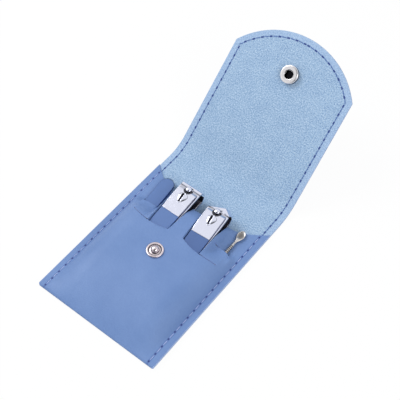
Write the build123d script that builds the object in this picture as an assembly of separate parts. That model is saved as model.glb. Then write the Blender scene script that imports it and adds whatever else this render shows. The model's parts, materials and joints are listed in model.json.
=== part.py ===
from build123d import *
import math
import os

# Nail care set in a folded snap pouch, lying on its back with the flap raised.
# Millimetres. The origin is on the flat back face, +X to the right as seen from
# the front, +Y towards the flap, +Z up out of the pocket front.

# Laminate of the pouch: smooth outer skin glued to a flocked lining
SKIN = 0.7
LINING = 0.5
SHEET = SKIN + LINING
SEAM_TOP = 2 * SHEET

# Pouch outline
POUCH_WIDTH = 78.0
FOLD_Y = -54.0
CREASE_Y = 54.6
LIP_DIP_Y = 30.0
LIP_RADIUS = 58.0
STITCH_INSET = 3.7
SEAM_WIDTH = 4.5
CREASE_GAP = 0.5

# Pocket front: a bulge that rises from the side seams and from the bottom fold
CROWN_Z = 11.6
SIDE_RISE = 14.5
RISE_LENGTH = 38.0
RISE_FULLNESS = 0.7
CROWN_END_Y = 10.0
LIP_CROWN_Z = 7.6
FIRST_RISE = 0.1
RISE_STEPS = 7

# Slits in the pocket front that the tools pass through
BIG_SLIT_LENGTH = 23.6
BIG_SLIT_INSET = 5.35
BIG_SLIT_END_Y = 9.4
BIG_SLIT_SAG = 2.4
SLIT_GAP = 0.6
SMALL_SLIT_Y = 18.3
STRAP_Z = 5.9
FILE_TRAY_WIDTH = 18.5
PICK_TRAY_WIDTH = 12.3
TRAY_GAP = 0.4

# Flap, hinged to the back by a rounded spine
FLAP_ANGLE = 41.0
FLAP_SHOULDER = 63.0
FLAP_TIP = 82.6

# Snap fastener
STUD_Y = -5.7
STUD_DIAMETER = 10.0
STUD_FLANGE = 0.6
STUD_NECK = 3.8
STUD_HEAD = 4.4
STUD_HEAD_LOW = 1.7
STUD_HEIGHT = 2.8
RIVET_POST = 3.0
RIVET_HEAD = 8.6
RIVET_HEAD_THICKNESS = 0.5
RIVET_REACH = 1.4
SOCKET_DIAMETER = 10.8
SOCKET_HEIGHT = 2.8
SOCKET_HOLE = 5.0
SOCKET_BASE = 0.6
SNAP_GAP = 0.2
SPRING_WIRE = 0.5
SPRING_GROOVE = 8.2
SPRING_GROOVE_HEIGHT = 0.6
SPRING_LEVEL = 2.1
SPRING_LEG = 2.55
SPRING_BOW_START = 1.0
CAP_DIAMETER = 12.0
CAP_THICKNESS = 1.2
DOME_SHARE = 0.85

# Stitching
STITCH_PITCH = 5.0
STITCH_LENGTH = 3.4
STITCH_WIDTH = 0.6
STITCH_HEIGHT = 0.3
STITCH_START = 3.0
SPINE_STITCH_SHARES = (0.27, 0.73)

# Clippers: two pressed arms, a pin through both and a lever on the pin
REST_GAP = 0.2
ARM_THICKNESS = 1.3
ARM_FRONT_HALF = 6.7
ARM_TAIL_HALF = 4.8
ARM_TAPER_START = -8.0
ARM_LENGTH = 51.0
ARM_TAIL_RADIUS = 3.0
ARM_SPREAD = 6.7
JAW_TOP_START = 0.8
JAW_GAP = 2.0
JAW_REAR = -1.5
BLADE_EDGE = 0.3
BLADE_ROOT = 1.3
PIN_DIAMETER = 2.4
PIN_FOOT = 4.4
PIN_FOOT_THICKNESS = 0.45
PIN_HEAD = 4.0
PIN_HEAD_HEIGHT = 1.05
PIN_HEAD_LIFT = 0.3
PIN_BORE_GAP = 0.1
JAW_BORE = 3.6
TAIL_RIVET_Y = -47.0
TAIL_RIVET_HEAD = 4.4
TAIL_RIVET_BORE = 2.9
TAIL_SPACER = 0.2
LEVER_LIFT = 0.35
LEVER_THICKNESS = 1.1
LEVER_HALF = 5.6
LEVER_FRONT = 1.2
LEVER_LENGTH = 43.5
GRIP_START = -17.0
GRIP_COAT = 0.2
LEVER_CORNER = 1.6
NECK_SLOT = 2.8
WINDOW_WIDTH = 5.0
WINDOW_DEPTH = 0.8
WINDOW_Y = -2.9
HUMP_START = -3.5
HUMP_LENGTH = 6.0
HUMP_HALF = 2.1
HUMP_HEIGHT = 0.7
HUMP_TAIL_HALF = 0.7
HUMP_TAPER = 25.0

# Places of the tools across the pouch, as shares of half its width
FILE_TIP_AT = -0.684
STRAIGHT_PIN_AT = -0.249
SLANT_PIN_AT = 0.292
PICK_AT = 0.7

# Places of the clippers along the pouch and their turns about the pin
STRAIGHT_PIN_Y = 35.0
STRAIGHT_TURN = 0.0
SLANT_PIN_Y = 33.2
SLANT_TURN = 3.5

# Front outlines of the jaws from left to right, at the cutting edge and at the face
STRAIGHT_EDGE = [(-6.7, 5.4), (6.7, 5.4)]
STRAIGHT_FACE = [(-6.7, 3.8), (6.7, 3.8)]
SLANT_EDGE = [(-6.7, 3.2), (3.4, 7.6), (6.7, 5.0)]
SLANT_FACE = [(-6.7, 1.8), (2.1, 5.7), (6.7, 2.1)]

# Nail file
FILE_TIP_Y = 39.8
FILE_TURN = 5.0
FILE_LENGTH = 88.0
FILE_HANDLE_LENGTH = 42.0
FILE_HANDLE_WIDTH = 8.6
FILE_HANDLE_THICKNESS = 1.4
FILE_BLADE_WIDTH = 8.0
FILE_BLADE_THICKNESS = 0.8
FILE_TANG = 12.0
FILE_TANG_WIDTH = 6.0
FILE_POINT = 9.0
FILE_POINT_HALF = 0.6

# Ear pick
PICK_TIP_Y = 37.4
PICK_LENGTH = 82.0
PICK_SHAFT = 1.8
PICK_NECK_Y = 25.9
PICK_RING = 2.2
PICK_RING_COUNT = 6
PICK_RING_PITCH = 1.1
PICK_SCOOP_BACK = 2.8
PICK_SCOOP_LIFT = 3.4
PICK_SCOOP_RADIUS = 3.3

# Spoon of the ear pick: distance from the tip, half width and half height
PICK_SPOON = [(8.6, 0.72, 0.63), (4.6, 1.95, 0.81), (2.4, 2.3, 0.9), (0.8, 1.6, 0.72), (0.0, 0.5, 0.3)]

# Sizes that follow from the ones above
HALF_WIDTH = POUCH_WIDTH / 2
SEAM_FOOT = HALF_WIDTH - SEAM_WIDTH
STITCH_X = HALF_WIDTH - STITCH_INSET
CROWN_HALF = SEAM_FOOT - SIDE_RISE
FILE_TRAY_INNER = FILE_TRAY_WIDTH - SEAM_FOOT
PICK_TRAY_INNER = SEAM_FOOT - PICK_TRAY_WIDTH
FILE_TIP_X = FILE_TIP_AT * HALF_WIDTH
PICK_X = PICK_AT * HALF_WIDTH
STRAIGHT_PIN = (STRAIGHT_PIN_AT * HALF_WIDTH, STRAIGHT_PIN_Y)
SLANT_PIN = (SLANT_PIN_AT * HALF_WIDTH, SLANT_PIN_Y)
ARM_BOTTOM = SEAM_TOP + REST_GAP
ARM_TOP = ARM_BOTTOM + ARM_THICKNESS
ABOVE_ALL = 3 * CROWN_Z
FLAP_CLOSED_Z = CROWN_Z + STUD_FLANGE + SNAP_GAP + SOCKET_HEIGHT
SPINE_CHORD = FLAP_CLOSED_Z - SHEET
SPINE_RADIUS = SPINE_CHORD / (2 * math.sin(math.radians(FLAP_ANGLE / 2)))
SPINE_MARGIN = math.degrees(CREASE_GAP / 2 / SPINE_RADIUS)
CREASE2_Y = CREASE_Y + SPINE_RADIUS * math.sin(math.radians(FLAP_ANGLE))
CREASE2_Z = SHEET + SPINE_RADIUS * (1 - math.cos(math.radians(FLAP_ANGLE)))
SOCKET_U = CREASE_Y - STUD_Y
UPPER_FACE_Z = ARM_TOP + ARM_SPREAD + ARM_THICKNESS
EDGE_MID_Z = (ARM_BOTTOM + UPPER_FACE_Z) / 2
LOWER_EDGE_Z = EDGE_MID_Z - JAW_GAP / 2
UPPER_EDGE_Z = EDGE_MID_Z + JAW_GAP / 2
ARM_SLOPE = math.atan2(ARM_SPREAD, ARM_LENGTH + JAW_TOP_START)

FLAP_PLANE = Plane(
    origin=(0, CREASE2_Y, CREASE2_Z),
    x_dir=(1, 0, 0),
    z_dir=(0, -math.sin(math.radians(FLAP_ANGLE)), math.cos(math.radians(FLAP_ANGLE))),
)


def plan_prism(points, z_low, z_high):
    """Upright prism over a plan outline."""
    outline = Pos(0, 0, z_low) * make_face(Polyline(*points, close=True))
    return extrude(outline, z_high - z_low, dir=(0, 0, 1))


def side_prism(points, x_low, x_high):
    """Prism along X over an outline of (y, z) points."""
    plane = Plane(origin=(x_low, 0, 0), x_dir=(0, 1, 0), z_dir=(1, 0, 0))
    outline = plane * make_face(Polyline(*points, close=True))
    return extrude(outline, x_high - x_low, dir=(1, 0, 0))


def upright(x, y, diameter, z_low, z_high):
    """Upright cylinder between two heights."""
    bar = Cylinder(diameter / 2, z_high - z_low, align=(Align.CENTER, Align.CENTER, Align.MIN))
    return Pos(x, y, z_low) * bar


def slab(x_low, x_high, y_low, y_high, z_low, z_high):
    """Box between two corners."""
    box = Box(x_high - x_low, y_high - y_low, z_high - z_low, align=(Align.MIN, Align.MIN, Align.MIN))
    return Pos(x_low, y_low, z_low) * box


def crown_at(y):
    """Height of the outer face along the middle of the pocket front."""
    rise = CROWN_Z - SEAM_TOP
    if y < FOLD_Y + RISE_LENGTH:
        share = math.sin(math.pi / 2 * (y - FOLD_Y) / RISE_LENGTH) ** RISE_FULLNESS
        return SEAM_TOP + max(FIRST_RISE, rise * share)
    if y < CROWN_END_Y:
        return CROWN_Z
    fall = (y - CROWN_END_Y) / (LIP_DIP_Y - CROWN_END_Y)
    return CROWN_Z + (LIP_CROWN_Z - CROWN_Z) * fall


def bulge_section(y, drop, half, floor):
    """Face across the pocket whose top lies drop below the outer face."""
    top = crown_at(y) - drop
    foot = SEAM_TOP - drop
    reach = SEAM_FOOT - CROWN_HALF
    height = top - foot
    radius = (reach**2 + height**2) / (2 * height)
    turn = math.asin(reach / radius) / 2
    mid = (CROWN_HALF + radius * math.sin(turn), top - radius * (1 - math.cos(turn)))
    right = [(CROWN_HALF, top), mid, (SEAM_FOOT, foot)]
    left = [(-x, z) for x, z in right]
    edges = [Line(left[0], right[0]), ThreePointArc(*right), ThreePointArc(*left)]
    if half > SEAM_FOOT:
        edges += [Line(right[2], (half, foot)), Line(left[2], (-half, foot))]
    edges += [Line((half, foot), (half, floor)), Line((-half, foot), (-half, floor))]
    edges += [Line((-half, floor), (half, floor))]
    plane = Plane(origin=(0, y, 0), x_dir=(1, 0, 0), z_dir=(0, -1, 0))
    return plane * make_face(edges)


def bulge(drop, half, floor):
    """Solid under the pocket front, its top face drop below the outer face."""
    lip_end = CREASE_Y - CREASE_GAP
    ys = [FOLD_Y + RISE_LENGTH * k / RISE_STEPS for k in range(RISE_STEPS + 1)]
    ys += [CROWN_END_Y, LIP_DIP_Y, lip_end]
    return loft([bulge_section(y, drop, half, floor) for y in ys], ruled=True)


def slit_ends(side, wall=0.0):
    """Left and right end of a big slit, which starts within the clipper and runs outwards."""
    pin = STRAIGHT_PIN if side < 0 else SLANT_PIN
    inner = pin[0] - side * BIG_SLIT_INSET
    return sorted((inner - side * wall, inner + side * (BIG_SLIT_LENGTH + wall)))


def slit_circle(side):
    """Centre and radius of the circle that a big slit follows."""
    left, right = slit_ends(side)
    half = BIG_SLIT_LENGTH / 2
    radius = (half**2 + BIG_SLIT_SAG**2) / (2 * BIG_SLIT_SAG)
    return (left + right) / 2, BIG_SLIT_END_Y - BIG_SLIT_SAG + radius, radius


def clipper_channel(pin, turn, side, wall):
    """Space of a clipper on top of the pocket sheet, from the big slit outwards."""
    front = ARM_FRONT_HALF + TRAY_GAP + wall
    rear = front - (ARM_FRONT_HALF - ARM_TAIL_HALF) / 2
    far = CREASE_Y - pin[1]
    near = -ARM_LENGTH
    points = [(-rear, near), (rear, near), (front, ARM_TAPER_START), (front, far)]
    points += [(-front, far), (-front, ARM_TAPER_START)]
    body = plan_prism(points, SEAM_TOP - wall, ABOVE_ALL)
    body = Pos(pin[0], pin[1], 0) * Rot(0, 0, turn) * body
    x, y, radius = slit_circle(side)
    return body & upright(x, y, 2 * radius, 0, ABOVE_ALL)


def strap_channel(side, wall):
    """Lowered part of the sheet between a big slit and a small slit."""
    low, high = slit_ends(side, wall)
    body = slab(low, high, 0, SMALL_SLIT_Y, STRAP_Z - wall, ABOVE_ALL)
    x, y, radius = slit_circle(side)
    return body & upright(x, y, 2 * radius, 0, ABOVE_ALL)


def tray_channel(inner, side, wall):
    """Flat part of the sheet that a slim tool lies on, above its small slit."""
    low, high = sorted((inner - side * wall, side * (SEAM_FOOT + wall)))
    return slab(low, high, SMALL_SLIT_Y, CREASE_Y, SEAM_TOP - wall, ABOVE_ALL)


def channels(wall):
    """All lowered parts of the pocket sheet, made wall larger at sides and floor."""
    spaces = clipper_channel(STRAIGHT_PIN, STRAIGHT_TURN, -1, wall)
    spaces += clipper_channel(SLANT_PIN, SLANT_TURN, 1, wall)
    spaces += tray_channel(FILE_TRAY_INNER, -1, wall)
    spaces += tray_channel(PICK_TRAY_INNER, 1, wall)
    spaces += strap_channel(-1, wall)
    spaces += strap_channel(1, wall)
    return spaces


def slit_cut(side):
    """Thin curved cut where the pocket sheet parts at a big slit."""
    x, y, radius = slit_circle(side)
    ring = upright(x, y, 2 * (radius + SLIT_GAP), STRAP_Z, ABOVE_ALL)
    ring -= upright(x, y, 2 * radius, STRAP_Z, ABOVE_ALL)
    low, high = slit_ends(side)
    bottom = BIG_SLIT_END_Y - BIG_SLIT_SAG - 2 * SLIT_GAP
    return ring & slab(low, high, bottom, BIG_SLIT_END_Y, STRAP_Z, ABOVE_ALL)


def fold_layer(outer, inner):
    """Half-round layer where the laminate turns from the back to the front."""
    layer = Rot(0, 90, 0) * Cylinder(outer, POUCH_WIDTH)
    if inner > 0:
        layer -= Rot(0, 90, 0) * Cylinder(inner, POUCH_WIDTH)
    layer = Pos(0, FOLD_Y, SHEET) * layer
    return layer & slab(-HALF_WIDTH, HALF_WIDTH, FOLD_Y - SEAM_TOP, FOLD_Y, 0, SEAM_TOP)


def trim_front(layer, post):
    """Cut the lip and the hole of the stud's rivet."""
    lip = upright(0, LIP_DIP_Y + LIP_RADIUS, 2 * LIP_RADIUS, 0, ABOVE_ALL)
    hole = upright(0, STUD_Y, post, SEAM_TOP, ABOVE_ALL)
    return layer - lip - hole - slit_cut(-1) - slit_cut(1)


def pocket_layers():
    """Skin and lining of the pocket front with the bottom fold."""
    outer = bulge(0, HALF_WIDTH, SHEET)
    middle = bulge(SKIN, HALF_WIDTH, SHEET)
    inside = bulge(SHEET, SEAM_FOOT, 0)
    open_space = channels(0)
    skin_space = channels(SKIN)
    full_space = channels(SHEET)
    skin = (outer - middle) + (outer & skin_space) - open_space
    lining = (middle - inside) + (middle & full_space) - skin_space
    skin = trim_front(skin, RIVET_POST) + fold_layer(SHEET, LINING)
    lining = trim_front(lining, RIVET_POST) + fold_layer(LINING, 0)
    return skin, lining


def back_layers():
    """Skin and lining of the flat back."""
    end = CREASE_Y - CREASE_GAP / 2
    skin = slab(-HALF_WIDTH, HALF_WIDTH, FOLD_Y, end, 0, SKIN)
    lining = slab(-HALF_WIDTH, HALF_WIDTH, FOLD_Y, end, SKIN, SHEET)
    return skin, lining


def spine_layer(depth_in, depth_out):
    """Curved strip between the creases; depths are below its inner face."""
    centre_z = SHEET + SPINE_RADIUS
    steps = []
    for angle in (SPINE_MARGIN, FLAP_ANGLE / 2, FLAP_ANGLE - SPINE_MARGIN):
        turn = math.radians(angle)
        steps.append((math.sin(turn), math.cos(turn)))
    rings = []
    for depth in (depth_in, depth_out):
        radius = SPINE_RADIUS + depth
        rings.append([(CREASE_Y + radius * s, centre_z - radius * c) for s, c in steps])
    near, far = rings
    edges = [ThreePointArc(*near), ThreePointArc(*far)]
    edges += [Line(near[0], far[0]), Line(near[2], far[2])]
    plane = Plane(origin=(-HALF_WIDTH, 0, 0), x_dir=(0, 1, 0), z_dir=(1, 0, 0))
    return extrude(plane * make_face(edges), POUCH_WIDTH, dir=(1, 0, 0))


def flap_arc(inset):
    """Centre and radius of the flap's round end, moved in by inset."""
    rise = FLAP_TIP - FLAP_SHOULDER
    radius = (HALF_WIDTH**2 + rise**2) / (2 * rise)
    return FLAP_TIP - radius, radius - inset


def flap_layer(depth_in, depth_out):
    """Flap layer in the flap's own plane, with the hole of the cap's post."""
    centre, radius = flap_arc(0)
    near = CREASE_GAP / 2
    edges = [Line((-HALF_WIDTH, near), (HALF_WIDTH, near))]
    edges += [Line((x, near), (x, FLAP_SHOULDER)) for x in (-HALF_WIDTH, HALF_WIDTH)]
    edges += [ThreePointArc((-HALF_WIDTH, FLAP_SHOULDER), (0, FLAP_TIP), (HALF_WIDTH, FLAP_SHOULDER))]
    sheet = extrude(Pos(0, 0, -depth_out) * make_face(edges), depth_out - depth_in, dir=(0, 0, 1))
    sheet -= upright(0, SOCKET_U, RIVET_POST, -depth_out, -depth_in)
    return FLAP_PLANE.location * sheet


def stitch(x, y, z, turn=0.0):
    """One stitch lying on a face, its long side turned about Z."""
    bar = Box(STITCH_WIDTH, STITCH_LENGTH, STITCH_HEIGHT, align=(Align.CENTER, Align.CENTER, Align.MIN))
    return Pos(x, y, z) * Rot(0, 0, turn) * bar


def pocket_stitches():
    """Stitches through the side seams of the pocket."""
    lip_y = LIP_DIP_Y + LIP_RADIUS - math.sqrt(LIP_RADIUS**2 - STITCH_X**2)
    first = FOLD_Y + STITCH_START
    count = int((lip_y - first - STITCH_LENGTH) / STITCH_PITCH) + 1
    rows = [(side * STITCH_X, first + k * STITCH_PITCH) for side in (-1, 1) for k in range(count)]
    return Compound([stitch(x, y, SEAM_TOP) for x, y in rows])


def spine_stitches():
    """Stitches that cross the spine, two on each side."""
    bars = []
    sag = STITCH_LENGTH**2 / (8 * SPINE_RADIUS)
    for side in (-1, 1):
        for share in SPINE_STITCH_SHARES:
            turn = FLAP_ANGLE * share
            bar = stitch(side * STITCH_X, 0, sag - SPINE_RADIUS)
            bars.append(Pos(0, CREASE_Y, SHEET + SPINE_RADIUS) * Rot(turn, 0, 0) * bar)
    return Compound(bars)


def flap_stitches():
    """Stitches along the sides and the round end of the flap."""
    centre, radius = flap_arc(STITCH_INSET)
    corner = math.asin(STITCH_X / radius)
    corner_u = centre + radius * math.cos(corner)
    count = int((corner_u - STITCH_START) / STITCH_PITCH)
    bars = [stitch(s * STITCH_X, STITCH_START + k * STITCH_PITCH, 0) for s in (-1, 1) for k in range(count)]
    steps = int(2 * corner * radius / STITCH_PITCH)
    for k in range(steps):
        turn = corner * (2 * (k + 0.5) / steps - 1)
        x = radius * math.sin(turn)
        bars.append(stitch(x, centre + radius * math.cos(turn), 0, 90 - math.degrees(turn)))
    return Compound([FLAP_PLANE.location * bar for bar in bars])


def snap_stud():
    """Stud on the pocket front: flange, neck and round head over a blind bore."""
    head_z = CROWN_Z + STUD_HEIGHT
    neck_top = CROWN_Z + STUD_HEAD_LOW
    body = upright(0, STUD_Y, STUD_DIAMETER, CROWN_Z, CROWN_Z + STUD_FLANGE)
    body = chamfer(body.edges().group_by(Axis.Z)[-1], STUD_FLANGE / 2)
    body += upright(0, STUD_Y, STUD_NECK, CROWN_Z, neck_top)
    head = upright(0, STUD_Y, STUD_HEAD, neck_top, head_z)
    body += fillet(head.edges().group_by(Axis.Z)[-1], (head_z - neck_top) * DOME_SHARE)
    return body - upright(0, STUD_Y, RIVET_POST, CROWN_Z, CROWN_Z + RIVET_REACH)


def stud_rivet():
    """Rivet inside the pocket that clamps the stud to the sheet."""
    under = CROWN_Z - SHEET
    head = upright(0, STUD_Y, RIVET_HEAD, under - RIVET_HEAD_THICKNESS, under)
    return head + upright(0, STUD_Y, RIVET_POST, under, CROWN_Z + RIVET_REACH)


def snap_socket():
    """Socket on the flap lining with its mouth and the groove of the spring."""
    body = upright(0, SOCKET_U, SOCKET_DIAMETER, 0, SOCKET_HEIGHT)
    body = chamfer(body.edges().group_by(Axis.Z)[-1], STUD_FLANGE)
    body -= upright(0, SOCKET_U, SOCKET_HOLE, SOCKET_BASE, SOCKET_HEIGHT)
    low = SPRING_LEVEL - SPRING_GROOVE_HEIGHT / 2
    body -= upright(0, SOCKET_U, SPRING_GROOVE, low, low + SPRING_GROOVE_HEIGHT)
    body -= upright(0, SOCKET_U, RIVET_POST, 0, SOCKET_BASE)
    return FLAP_PLANE.location * body


def socket_spring():
    """Bent wire in the socket: two legs beside the hole, joined by a bow."""
    leg = SPRING_LEG
    bow_u = SOCKET_U + SPRING_BOW_START
    start = (-leg, SOCKET_U - leg, SPRING_LEVEL)
    left = (-leg, bow_u, SPRING_LEVEL)
    right = (leg, bow_u, SPRING_LEVEL)
    path = Line(start, left) + ThreePointArc(left, (0, bow_u + leg, SPRING_LEVEL), right)
    path += Line(right, (leg, SOCKET_U - leg, SPRING_LEVEL))
    section = Plane(origin=start, z_dir=(0, 1, 0)) * Circle(SPRING_WIRE / 2)
    return FLAP_PLANE.location * sweep(section, path=path)


def snap_cap():
    """Domed cap outside the flap with a post through the laminate."""
    dome = upright(0, SOCKET_U, CAP_DIAMETER, -SHEET - CAP_THICKNESS, -SHEET)
    dome = fillet(dome.edges().group_by(Axis.Z)[0], CAP_THICKNESS * DOME_SHARE)
    post = upright(0, SOCKET_U, RIVET_POST, -SHEET, SOCKET_BASE)
    return FLAP_PLANE.location * (dome + post)


def arm_plan(front_y):
    """Plan outline of a clipper arm up to a front line, tapered to the tail."""
    tail = ARM_LENGTH
    cut = ARM_TAIL_RADIUS
    half = ARM_TAIL_HALF
    right = [(half - cut, -tail), (half, cut - tail), (ARM_FRONT_HALF, ARM_TAPER_START)]
    right += [(ARM_FRONT_HALF, front_y)]
    return right + [(-x, y) for x, y in reversed(right)]


def front_outline(points, inset, half):
    """Closed plan outline of a jaw front, moved back by inset and half wide."""
    ends = [(math.copysign(half, x) if k in (0, len(points) - 1) else x, y - inset)
            for k, (x, y) in enumerate(points)]
    return ends + [(half, JAW_REAR), (-half, JAW_REAR)]


def jaw(edge, face, edge_z, face_z):
    """Beak of one jaw: a wedge shell from the flat face to the cutting edge."""
    wide = ARM_FRONT_HALF + ARM_THICKNESS
    step = math.copysign(ARM_THICKNESS, face_z - edge_z)
    outer = [(edge, 0, ARM_FRONT_HALF, edge_z), (face, 0, ARM_FRONT_HALF, face_z)]
    inner = [(edge, BLADE_EDGE, wide, edge_z), (face, BLADE_ROOT, wide, face_z - step)]
    solids = []
    for rows in (outer, inner):
        faces = []
        for points, inset, half, z in rows:
            outline = Polyline(*front_outline(points, inset, half), close=True)
            faces.append(Pos(0, 0, z) * make_face(outline))
        solids.append(loft(faces, ruled=True))
    return solids[0] - solids[1]


def lower_arm(edge, face):
    """Lower arm with its jaw, the pin's counterbore and the rivet's hole."""
    body = plan_prism(arm_plan(0), ARM_BOTTOM, ARM_TOP)
    body += jaw(edge, face, LOWER_EDGE_Z, ARM_BOTTOM)
    body -= upright(0, 0, PIN_DIAMETER + 2 * PIN_BORE_GAP, ARM_BOTTOM, ARM_TOP)
    foot_top = ARM_BOTTOM + PIN_FOOT_THICKNESS + PIN_BORE_GAP
    body -= upright(0, 0, PIN_FOOT + 2 * PIN_BORE_GAP, ARM_BOTTOM, foot_top)
    return body - upright(0, TAIL_RIVET_Y, PIN_DIAMETER, ARM_BOTTOM, ARM_TOP)


def arm_underside(y):
    """Height of the upper arm's lower face."""
    return ARM_TOP + math.tan(ARM_SLOPE) * (y + ARM_LENGTH) if y < JAW_TOP_START else ARM_TOP + ARM_SPREAD


def upper_arm(edge, face):
    """Upper arm that rises from the tail, with its jaw and the two bores."""
    thick = ARM_THICKNESS
    ends = (-ARM_LENGTH, JAW_TOP_START)
    low = [(y, arm_underside(y)) for y in ends]
    profile = low + [(y, z + thick) for y, z in reversed(low)]
    body = side_prism(profile, -ARM_FRONT_HALF, ARM_FRONT_HALF)
    body &= plan_prism(arm_plan(JAW_TOP_START), 0, ABOVE_ALL)
    beak = jaw(edge, face, UPPER_EDGE_Z, UPPER_FACE_Z)
    keep = slab(-ARM_FRONT_HALF, ARM_FRONT_HALF, JAW_TOP_START, 3 * ARM_FRONT_HALF, 0, ABOVE_ALL)
    body += beak & keep
    body -= upright(0, 0, JAW_BORE, ARM_TOP, ABOVE_ALL)
    return body - upright(0, TAIL_RIVET_Y, TAIL_RIVET_BORE, ARM_TOP, ABOVE_ALL)


def lever_plane():
    """Underside of the lever: parallel to the upper arm, a small gap above it."""
    z = arm_underside(0) + ARM_THICKNESS + LEVER_LIFT
    return Plane(origin=(0, 0, z), x_dir=(1, 0, 0), z_dir=(0, -math.sin(ARM_SLOPE), math.cos(ARM_SLOPE)))


def plate(half, y_low, y_high, z_low, z_high, corner):
    """Flat plate with rounded corners at its rear end."""
    body = slab(-half, half, y_low, y_high, z_low, z_high)
    return fillet(body.edges().filter_by(Axis.Z).group_by(Axis.Y)[0], corner)


def lever_core(margin):
    """Thin rear part of the lever that the coat covers."""
    half = LEVER_HALF - margin
    end = -LEVER_LENGTH + margin
    return plate(half, end, GRIP_START, margin, LEVER_THICKNESS - margin, LEVER_CORNER)


def hump():
    """Drop-shaped boss behind the pin that stiffens the lever."""
    rear = HUMP_START - HUMP_LENGTH
    wide_y = HUMP_START - HUMP_HALF / 2
    edges = [
        ThreePointArc((-HUMP_HALF, wide_y), (0, HUMP_START), (HUMP_HALF, wide_y)),
        Line((HUMP_HALF, wide_y), (HUMP_TAIL_HALF, rear)),
        Line((HUMP_TAIL_HALF, rear), (-HUMP_TAIL_HALF, rear)),
        Line((-HUMP_TAIL_HALF, rear), (-HUMP_HALF, wide_y)),
    ]
    outline = Pos(0, 0, LEVER_THICKNESS) * make_face(edges)
    return extrude(outline, HUMP_HEIGHT, dir=(0, 0, 1), taper=HUMP_TAPER)


def lever():
    """Bright front plate of the lever with its thin rear core."""
    top = LEVER_THICKNESS
    body = slab(-LEVER_HALF, LEVER_HALF, GRIP_START, LEVER_FRONT, 0, top)
    body = fillet(body.edges().filter_by(Axis.Z).group_by(Axis.Y)[-1], LEVER_CORNER)
    body += hump() + lever_core(GRIP_COAT)
    body -= slab(-NECK_SLOT / 2, NECK_SLOT / 2, 0, LEVER_FRONT, -top, 2 * top)
    body -= upright(0, 0, NECK_SLOT, -top, 2 * top)
    window_end = WINDOW_Y - WINDOW_DEPTH
    body -= slab(-WINDOW_WIDTH / 2, WINDOW_WIDTH / 2, window_end, WINDOW_Y, -top, top)
    return lever_plane().location * body


def lever_grip():
    """Coloured coat round the rear of the lever."""
    coat = plate(LEVER_HALF, -LEVER_LENGTH, GRIP_START, 0, LEVER_THICKNESS, LEVER_CORNER)
    return lever_plane().location * (coat - lever_core(GRIP_COAT))


def pin():
    """Pin through both arms with a foot below and a domed head on the lever."""
    top = arm_underside(0) + ARM_THICKNESS + LEVER_LIFT + LEVER_THICKNESS + PIN_HEAD_LIFT
    body = upright(0, 0, PIN_FOOT, ARM_BOTTOM, ARM_BOTTOM + PIN_FOOT_THICKNESS)
    body += upright(0, 0, PIN_DIAMETER, ARM_BOTTOM, top)
    head = upright(0, 0, PIN_HEAD, top, top + PIN_HEAD_HEIGHT)
    return body + fillet(head.edges().group_by(Axis.Z)[-1], PIN_HEAD_HEIGHT * DOME_SHARE)


def tail_rivet():
    """Rivet that joins the arms at the tail, with a thin spacer between them."""
    head_low = arm_underside(TAIL_RIVET_Y + TAIL_RIVET_HEAD / 2) + ARM_THICKNESS + TAIL_SPACER / 2
    body = upright(0, TAIL_RIVET_Y, PIN_DIAMETER, ARM_BOTTOM, head_low)
    body += upright(0, TAIL_RIVET_Y, TAIL_RIVET_HEAD, ARM_TOP, ARM_TOP + TAIL_SPACER)
    head = upright(0, TAIL_RIVET_Y, TAIL_RIVET_HEAD, head_low, head_low + PIN_FOOT_THICKNESS)
    return body + fillet(head.edges().group_by(Axis.Z)[-1], PIN_FOOT_THICKNESS / 2)


def clipper(prefix, edge, face, pin_at, turn):
    """All pieces of one clipper at its place in the pouch."""
    place = Pos(pin_at[0], pin_at[1], 0) * Rot(0, 0, turn)
    pieces = {
        "lower_jaw": lower_arm(edge, face),
        "upper_jaw": upper_arm(edge, face),
        "tail_rivet": tail_rivet(),
        "pin": pin(),
        "lever": lever(),
        "lever_grip": lever_grip(),
    }
    return {f"{prefix}_{name}": place * solid for name, solid in pieces.items()}


def file_pieces():
    """Nail file: a thin blade whose tang sits in a rounded handle."""
    place = Pos(FILE_TIP_X, FILE_TIP_Y, ARM_BOTTOM) * Rot(0, 0, FILE_TURN)
    half = FILE_HANDLE_WIDTH / 2
    thick = FILE_HANDLE_THICKNESS
    handle = slab(-half, half, -FILE_HANDLE_LENGTH, -half, 0, thick)
    handle += upright(0, -half, FILE_HANDLE_WIDTH, 0, thick)
    low = (thick - FILE_BLADE_THICKNESS) / 2
    high = low + FILE_BLADE_THICKNESS
    tang_half = FILE_TANG_WIDTH / 2
    tang = slab(-tang_half, tang_half, -FILE_HANDLE_LENGTH, FILE_TANG - FILE_HANDLE_LENGTH, low, high)
    blade_half = FILE_BLADE_WIDTH / 2
    points = [(-blade_half, -FILE_HANDLE_LENGTH), (blade_half, -FILE_HANDLE_LENGTH)]
    points += [(blade_half, FILE_POINT - FILE_LENGTH), (FILE_POINT_HALF, -FILE_LENGTH)]
    points += [(-FILE_POINT_HALF, -FILE_LENGTH), (-blade_half, FILE_POINT - FILE_LENGTH)]
    blade = plan_prism(points, low, high) + tang
    return {"file_blade": place * blade, "file_handle": place * (handle - tang)}


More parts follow.
